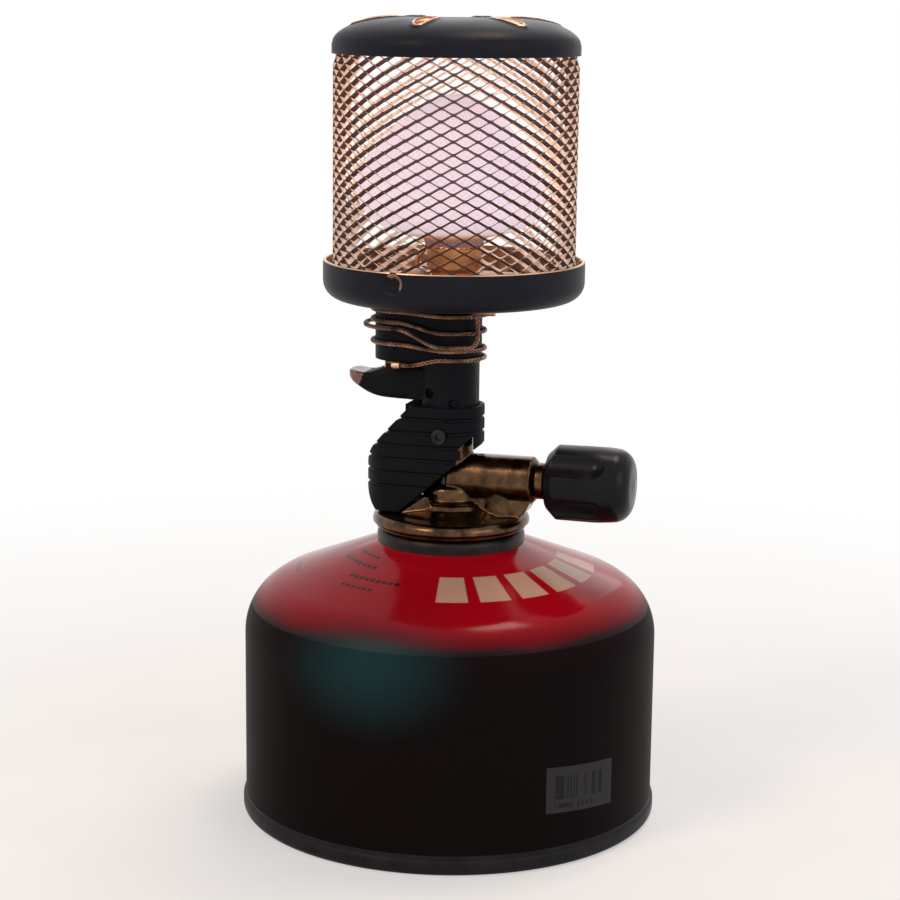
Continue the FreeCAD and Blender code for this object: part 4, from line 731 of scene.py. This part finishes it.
def label():
    """Paper sticker on the can's side: a patch of the cylinder that falls a little towards its right.

    Across it runs the angle, and up it the height less a slope times the angle. Its back lies on the can.
    """
    left = -48.4
    span = 22.9
    foot = 11.9
    tall = 9.9
    fall = 1.3
    across = np.linspace(0.0, 1.0, 25)[:, None]
    up = np.linspace(0.0, 1.0, 9)[None, :]
    turn = np.radians(left + span * across)
    height = foot + tall * up - fall * across
    front, back = [polar(CAN_RADIUS + lift, turn, height) for lift in (0.07, -0.01)]
    rim = np.concatenate([front, back[::-1]])
    sides = np.concatenate([sheet.transpose(1, 0, 2)[[0, -1]] for sheet in (front, back)])
    ends = [sides[[0, 2]], sides[[1, 3]]]
    piece = surface("bar_label", [(rim, True, False)] + [(end, False, False) for end in ends], sticker)
    places = read(piece.data.vertices, "co", 3) / MM
    corner = read(piece.data.loops, "vertex_index", 1, int)[:, 0]
    share = (np.degrees(np.arctan2(places[:, 1], places[:, 0])) - left) / span
    rise = (places[:, 2] - foot + fall * share) / tall
    layer = piece.data.uv_layers.new(name="UVMap")
    layer.data.foreach_set("uv", np.stack([share, rise], axis=-1)[corner].ravel())
    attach(piece, "cartridge")


def mesh_ribbons():
    """Expanded steel: zigzag ribbons round the globe, each mirrored to the next, meeting at their crests.

    A ribbon's height is its level plus half a pitch times a triangle wave of the turn, with 32 waves
    round. Its flat section leans outwards and up, as slit and stretched sheet does, so that it is thin
    from outside and broad from inside, and it swells by the eighth power of the wave at each crest.
    The ribbons flare by an eased step just under the cap.
    """
    columns = 32
    waves = 37
    hem = 1.3
    roundness = 0.985
    lean = math.radians(22.0)
    width = 1.2
    strand = 0.08
    swell = 0.2
    body_radius = 24.75
    flare_reach = 0.6
    flare_top = cap_low - 0.4
    flare_height = 2.6
    hoop_inner, hoop_outer = 24.7, 25.2
    pitch = (mesh_high - mesh_low - 2 * hem) / waves
    turn = around(columns * 12)
    zigzag = np.arcsin(roundness * np.sin(turn * columns)) / np.arcsin(roundness)
    thick = (strand + swell * np.abs(zigzag) ** 8)[:, None]
    corners = np.array([(-1, -1), (1, -1), (1, 1), (-1, 1)]) / 2
    out = corners[:, 0] * width * math.cos(lean) - corners[:, 1] * thick * math.sin(lean)
    up = corners[:, 0] * width * math.sin(lean) + corners[:, 1] * thick * math.cos(lean)
    grids = []
    for wave in range(waves):
        side = 1 if wave % 2 else -1
        level = (mesh_low + hem + pitch * (wave + 0.5) + side * 0.5 * pitch * zigzag)[:, None]
        flare = np.clip((flare_top - level) / flare_height, 0.0, 1.0)
        radius = body_radius + flare_reach * flare * flare * (3 - 2 * flare) + out
        grids.append((polar(radius, turn[:, None], level + up), True, True))
    for foot in (mesh_low, mesh_high - hem):
        top = foot + hem
        hoop = [(hoop_inner, foot), (hoop_outer, foot), (hoop_outer, top), (hoop_inner, top)]
        grids.append(turned(rounded([(*corner, 0.2) for corner in hoop], 3), 160))
    globe = surface("expanded_mesh", grids, oxidised_mesh, sharp=60.0)
    # Painted light: faces that look at the flame get the pale, glowing finish
    second_finish(globe, lit_inner_mesh, looks_in)
    dress(globe, "globe", "mesh_globe")


def cap():
    """Pressed cap: a domed top that falls to its skirt by a quarter ellipse, with six petal slots.

    Each sixth of the top is a grid between a slot's outline and the sixth's border, in radius and
    angle. The height is the dome's at that radius, plus a lip that dies away from the slot by a bell
    curve. The lips get pale steel as a painted highlight of the glow at the slots, and the wall's
    thickness is given inwards.
    """
    edge = 26.2
    flat = 12.6
    drop = 5.6
    petals = 6
    petal_turn = 23.0
    half_sector = 180.0 / petals
    slot_middle = 16.8
    slot_half = (4.9, 1.7)
    lip_rise = 0.45
    lip_reach = 0.75
    glint_margin = 0.35
    ray = np.sin(np.linspace(0.0, 1.0, 26) * math.pi / 2)
    reach = edge * np.concatenate([ray[::-1], np.zeros(7), ray, np.ones(23)])
    back = np.linspace(half_sector, -half_sector, 9)[1:-1]
    forth = np.linspace(-half_sector, half_sector, 25)
    swing = np.concatenate([np.full(26, half_sector), back, np.full(26, -half_sector), forth[1:-1]])
    start = [(0, 38.0), (25, 172.0), (33, 188.0), (58, 322.0), (82, 398.0)]
    clock = np.radians(np.interp(np.arange(reach.size), *zip(*start)))
    slot_reach = slot_middle + slot_half[0] * np.cos(clock)
    slot_swing = np.degrees(slot_half[1] * np.sin(clock) * np.abs(np.sin(clock)) ** 0.35 / slot_reach)
    share = (np.linspace(0.0, 1.0, 24) ** 1.6)[:, None]
    radius = slot_reach * (1 - share) + reach * share
    angle = slot_swing * (1 - share) + swing * share
    skirt_low = np.linspace(cap_high - drop, cap_low, 7)[:, None]
    grids = []
    for petal in range(petals):
        middle = petal_turn + 2 * half_sector * petal
        turn = np.radians(angle + middle)
        x = radius * np.cos(turn)
        y = radius * np.sin(turn)
        away = np.hypot(x - x[0], y - y[0])
        fall = np.clip((radius - flat) / (edge - flat), 0.0, 1.0)
        height = cap_high - drop * (1 - np.sqrt(np.maximum(1 - fall**2, 0.0)))
        height = height + lip_rise * np.exp(-((away / lip_reach) ** 2))
        grids.append((np.stack([x, y, height], axis=-1), False, True))
        grids.append((polar(edge, np.radians(forth[None, :] + middle), skirt_low), False, False))
    piece = surface("domed_cap", grids, black_enamel, sharp=50.0)

    def on_lip(middles, normals):
        """Faces beside a slot that get the painted highlight: inside an ellipse that is larger than the slot
        by a margin.
        """
        sector = TAU / petals
        turn = np.arctan2(middles[:, 1], middles[:, 0]) - math.radians(petal_turn)
        swing = (turn + sector / 2) % sector - sector / 2
        reach = np.hypot(middles[:, 0], middles[:, 1])
        along = (reach - slot_middle) / (slot_half[0] + glint_margin)
        across = reach * swing / (slot_half[1] + glint_margin)
        return along**2 + across**2 < 1.0

    # Painted highlight: the lips beside the slots get pale tinted steel
    second_finish(piece, tinted_and_lit_steel, on_lip)
    wall = piece.modifiers.new("wall", "SOLIDIFY")
    wall.thickness = 0.6 * MM
    wall.offset = -1.0
    wall.material_offset = 1
    wall.material_offset_rim = 1
    dress(piece, "globe", "globe_cap")


def mantle_net():
    """Burnt-in mantle: a pear-shaped bag, with lumps and gathers where it is tied.

    The radius is an eased line through stations up the height, times one plus shallow waves of turn
    and height, plus fine folds round the tie that fade by a bell curve. Its middle leans aside half-way up.
    """
    tall = 32.0
    wall = 0.4
    aside = math.radians(15.0)
    levels = [0.0, 1.6, 2.2, 3.4, 5.2, 7.5, 10.5, 13.5, 16.5, 20.0, 24.0, 27.0, 29.4, 31.3, tall]
    radii = [6.1, 6.1, 8.5, 13.5, 17.2, 19.3, 20.2, 19.9, 18.6, 16.3, 13.2, 10.4, 7.4, 3.8, 0.0]
    eased = [smoothed(values, 13) for values in evened(np.array([levels, radii]).T, 140).T]
    eased[0][[0, -1]] = (0.0, tall)
    eased[1][-1] = 0.0
    height = mantle_low + eased[0][:, None]
    radius = eased[1][:, None]
    turn = around(220)[None, :]
    share = (height - mantle_low) / tall
    lumps = 0.014 * np.sin(3 * turn + 5 * share) + 0.01 * np.sin(7 * turn - 9 * share + 1.0)
    gathers = 0.35 * np.exp(-(((height - mantle_low - 3.0) / 3.0) ** 2)) * np.sin(26 * turn)
    skin = radius * (1 + lumps * np.sin(math.pi * share)) + gathers * (radius > 0.5)
    lean = -1.3 * np.sin(math.pi * np.clip(share, 0.0, 1.0)) ** 2
    points = []
    for shell, level in ((skin, height), (np.maximum(skin - wall, 0.0), height - wall * share)):
        x = shell * np.cos(turn) + lean * math.cos(aside)
        y = shell * np.sin(turn) + lean * math.sin(aside)
        points.append(np.stack(np.broadcast_arrays(x, y, level), axis=-1))
    grid = np.concatenate([points[0], points[1][::-1]])
    dress(surface("mantle_net", [(grid, True, True)], ash), "head", "mantle")


def knob():
    """Five crests between round flutes: the radius is the smaller of the turned outline and the flute.

    A flute is a cylinder of 4.2 mm radius lying 11.1 mm off the axis that ends in a ball.
    """
    start = low("control_knob", 0)
    end = high("control_knob", 0)
    long = end - start
    bore = 2.1
    corners = [
        (start + 1.5, bore),
        (start, bore, 0.2),
        (start, 6.1, 0.3),
        (start + 2.2, 8.2, 0.5),
        (start + 0.58 * long, 8.3, 30.0),
        (end - 0.6, 7.6, 4.0),
        (end, 0.0),
    ]
    outline = evened(rounded(corners, 10, False), 150)
    along, turned_radius = outline[:, :1], outline[:, 1:]
    turn = around(400)[None, :]
    offset = 11.1
    hollow = 4.2
    blend = 0.35
    no_flute = 20.0
    sector = TAU / 5
    from_flute = (turn - math.radians(1.0)) % sector - sector / 2
    runout = start + 0.55 * long
    ball = np.sqrt(np.maximum(hollow**2 - np.maximum(along - runout, 0.0) ** 2, 0.0))
    reach = ball**2 - (offset * np.sin(from_flute)) ** 2
    flute = np.where(reach > 0, offset * np.cos(from_flute) - np.sqrt(np.maximum(reach, 0.0)), no_flute)
    share = np.clip(0.5 + (flute - turned_radius) / (2 * blend), 0.0, 1.0)
    radius = flute * (1 - share) + turned_radius * share - blend * share * (1 - share)
    radius = np.where(turned_radius < 5.0, turned_radius, radius)
    places = (along, -radius * np.cos(turn), axis_z + radius * np.sin(turn))
    grid = np.stack(np.broadcast_arrays(*places), axis=-1)
    dress(surface("ribbed_knob", [(grid, False, True)], knob_nylon), "knob", "control_knob")


def pan():
    """Pressed pan: a turned wall drawn in at three dimples by a bell curve of the distance to each."""
    outer = 28.0
    wall = 0.8
    hole = 3.1
    dimple_depth = 1.4
    dimple_size = 1.75
    corners = [
        (hole, pan_low),
        (outer, pan_low, 4.0),
        (outer, pan_rim, 0.38),
        (outer - wall, pan_rim, 0.38),
        (outer - wall, pan_low + wall, 4.0 - wall),
        (hole, pan_low + wall),
    ]
    grid, _, _ = turned(evened(rounded(corners, 12), 260), 360)
    turn = np.arctan2(grid[..., 1], grid[..., 0])
    radius = np.hypot(grid[..., 0], grid[..., 1])
    depth = np.zeros_like(radius)
    for index in range(DIMPLES):
        away = (turn - DIMPLE_TURN - TAU / DIMPLES * index + math.pi) % TAU - math.pi
        distance = np.hypot(away * DIMPLE_REACH, grid[..., 2] - dimple_z)
        depth += dimple_depth * np.exp(-((distance / dimple_size) ** 4))
    depth = np.where(radius > 24.0, depth, 0.0)
    factor = (radius - depth) / radius
    grid = np.stack([grid[..., 0] * factor, grid[..., 1] * factor, grid[..., 2]], axis=-1)
    piece = surface("pressed_pan", [(grid, True, True)], pan_enamel)
    # Painted light: the faces that look at the flame, and the top of the rim, get pale steel
    second_finish(piece, tinted_and_lit_steel, inside_pan)
    dress(piece, "head", "base_pan")


def inside_pan(middles, normals):
    """The pan's inside, painted as lit by the flame in pale steel: faces that look at its axis, its floor,
    and the top of its rolled edge.
    """
    reach = np.hypot(middles[:, 0], middles[:, 1])
    edge = (normals[:, 2] > 0.4) & (middles[:, 2] > pan_rim - 0.6)
    floor = (normals[:, 2] > 0.5) & (reach < 26.0)
    return (middles[:, 2] > pan_low + 0.6) & (looks_in(middles, normals) | edge | floor)


def stadium(lap, radius, left, right):
    """Place on a long round path: each lap is a run or a half turn, in the order front, left, back, right."""
    part = lap % 4
    step = part % 1
    run = [left + (right - left) * (1 - step), left + (right - left) * step]
    angle = [-math.pi / 2 - math.pi * step, math.pi / 2 - math.pi * step]
    leg = part.astype(int)
    x = np.choose(leg, [run[0], left + radius * np.cos(angle[0]), run[1], right + radius * np.cos(angle[1])])
    y = np.choose(leg, [-radius, radius * np.sin(angle[0]), radius, radius * np.sin(angle[1])])
    return x, y


def wound_wire():
    """Four-strand wire wound on the spool: the strands twist round a path of laps.

    The path's radius and height are eased between stations of (lap, radius, height), and each
    strand is a round section turned round the path by one turn per 4 mm.
    """
    left, right = -10.6, -0.4
    spool_half = 6.6
    spool_height = 13.5
    clearance = 0.07
    wire_radius = 0.525
    layer = 1.55
    inner = spool_half + clearance + wire_radius
    outer = inner + layer
    ferrule = (spool_half + 0.65, pan_low - spool_height - 0.55)
    depths = [9.6, 6.0, 6.0, 3.2, 3.2, 2.6, 2.6, 6.8, 6.8, 4.9, 4.9, 10.6, 10.6, 9.6, 9.6, 12.6, 12.6]
    first_lap = -40 / 180
    stations = [(first_lap, outer, pan_low - depths[0])]
    stations += [(lap, outer if lap < 4 else inner, pan_low - depth) for lap, depth in enumerate(depths)]
    stations = np.array(stations + [(16.78, *ferrule), (16.92, *ferrule)])
    lap = np.arange(first_lap, stations[-1, 0], 0.012)
    index = np.clip(np.searchsorted(stations[:, 0], lap, side="right") - 1, 0, len(stations) - 2)
    before, after = stations[index], stations[index + 1]
    step = (lap - before[:, 0]) / (after[:, 0] - before[:, 0])
    ease = step * step * (3 - 2 * step)
    radius, height = [before[:, k] + (after[:, k] - before[:, k]) * ease for k in (1, 2)]
    x, y = stadium(lap, radius, left, right)
    path = np.stack([x, y, height], axis=-1)
    heading = path[1] - path[0]
    heading /= np.linalg.norm(heading)
    bend = np.array([0.0, 0.0, 2.0])
    arc = np.linspace(0.0, math.pi / 2, 12)[:-1, None]
    start = path[0] - heading * bend[2] + bend
    turn_in = start + heading * bend[2] * (1 - np.cos(arc)) - bend * np.sin(arc)
    anchor_low = pan_low - 2.7
    drop = np.linspace(anchor_low, start[2], 14)[:-1, None]
    riser = np.concatenate([np.broadcast_to(start[:2], (len(drop), 2)), drop], axis=1)
    pitch = 0.3
    path = evened(np.concatenate([riser, turn_in, path]), pitch=pitch)
    run = pitch * np.arange(len(path))
    tangent = np.gradient(path, axis=0)
    tangent /= np.linalg.norm(tangent, axis=1)[:, None]
    core = np.stack([np.clip(path[:, 0], left, right), 0 * run, path[:, 2]], axis=-1)
    side = path - core
    side -= tangent * (side * tangent).sum(1)[:, None]
    side /= np.linalg.norm(side, axis=1)[:, None]
    up = np.cross(tangent, side)
    strands = 4
    lay = 4.0
    strand_radius = 0.2175
    strand_offset = 0.3075
    ring = around(8)[None, :, None]
    grids = []
    for number in range(strands):
        twist = TAU * (run / lay + number / strands)[:, None]
        middle = path + strand_offset * (side * np.cos(twist) + up * np.sin(twist))
        section = side[:, None, :] * np.cos(ring) + up[:, None, :] * np.sin(ring)
        grids.append((middle[:, None, :] + strand_radius * section, False, True))
    piece = surface("stranded_wire", grids, strand_steel, sharp=80.0)
    dress(piece, "head", "suspension_wire")


def thumb_lever():
    """Trigger tongue: a run of rounded sections between the lever's top and bottom lines, closed at the tip.

    Each section is a superellipse of the fourth power. Its half width is 4 mm, narrowing as a quarter
    circle over the last 2.6 mm, and the tip's top is scooped by a cosine hollow. The lever's own tongue
    is cut off its softened fork.
    """
    tongue_start = -5.0
    tongue_foot = grip_top + 1.4
    fork_end = -10.2
    fork = softened("igniter_trigger", "trigger", 0.16)
    edit = bmesh.new()
    edit.from_mesh(fork.data)
    middles = [face.calc_center_median() / MM for face in edit.faces]
    gone = [
        face
        for face, middle in zip(edit.faces, middles)
        if middle.x < tongue_start and middle.z > tongue_foot or middle.x < fork_end
    ]
    bmesh.ops.delete(edit, geom=gone, context="FACES")
    bmesh.ops.holes_fill(edit, edges=[edge for edge in edit.edges if edge.is_boundary])
    edit.to_mesh(fork.data)
    edit.free()
    tip = low("igniter_trigger", 0)
    root = -4.5
    round_end = 2.6
    scoop_middle, scoop_half, scoop_depth = -19.6, 3.4, 0.35
    run = tip + (root - tip) * (1 - np.cos(np.linspace(0.0, math.pi / 2, 60)))
    top_line = (
        [tip, -22.8, -21.5, -19.5, -17.6, -15.6, -13.0, root],
        [6.1, 6.6, 6.8, 6.6, 6.6, 7.3, 8.5, 8.6],
    )
    low_line = (
        [tip, -22.7, -21.6, -20.2, -18.3, -16.4, -14.4, -11.0, root],
        [5.7, 5.0, 3.9, 2.95, 1.75, 1.05, 0.75, 0.6, 0.5],
    )
    top, bottom = [grip_top + smoothed(np.interp(run, *line), 9) for line in (top_line, low_line)]
    middle = (top + bottom) / 2
    half_high = np.maximum((top - bottom) / 2, 0.02)
    from_tip = np.clip((run - tip) / round_end, 0.0, 1.0)
    half_wide = 3.95 * np.sqrt(1 - (1 - from_tip) ** 2) + 0.02
    ring = around(48)
    across, up = [np.sign(wave) * np.abs(wave) ** 0.5 for wave in (np.cos(ring), np.sin(ring))]
    scoop = scoop_depth * np.cos(np.clip((run - scoop_middle) / scoop_half, -1.0, 1.0) * math.pi / 2) ** 2
    hollow = scoop[:, None] * np.clip(up, 0.0, 1.0) * np.clip(1 - across**2, 0.0, 1.0)
    places = (run[:, None], half_wide[:, None] * across, middle[:, None] + half_high[:, None] * up - hollow)
    grid = np.stack(np.broadcast_arrays(*places), axis=-1)
    ends = [np.repeat(grid[k : k + 1].mean(axis=1, keepdims=True), ring.size, axis=1) for k in (0, -1)]
    grid = np.concatenate([ends[0], grid, ends[1]])
    piece = surface("thumb_tongue", [(grid, False, True)], moulded_nylon)

    def at_tip(middles, normals):
        """Faces left of a line that leans from the tip's top to its underside."""
        return middles[:, 0] < 0.45 * (middles[:, 2] - grip_top - 6.7) - 18.7

    # Painted highlight: the tip's end gets the brown, shiny finish
    second_finish(piece, tip_sheen_nylon, at_tip)
    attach(piece, "trigger")


cartridge()
label()
thumb_lever()
mesh_ribbons()
cap()
mantle_net()
knob()
pan()
wound_wire()
for solid, voxel in (
    ("valve_body", 0.2),
    ("grip_front", 0.16),
    ("grip_rear", 0.16),
    ("neck_housing", 0.18),
    ("gland_bush", 0.1),
):
    softened(solid, "head", voxel)

make_stage()
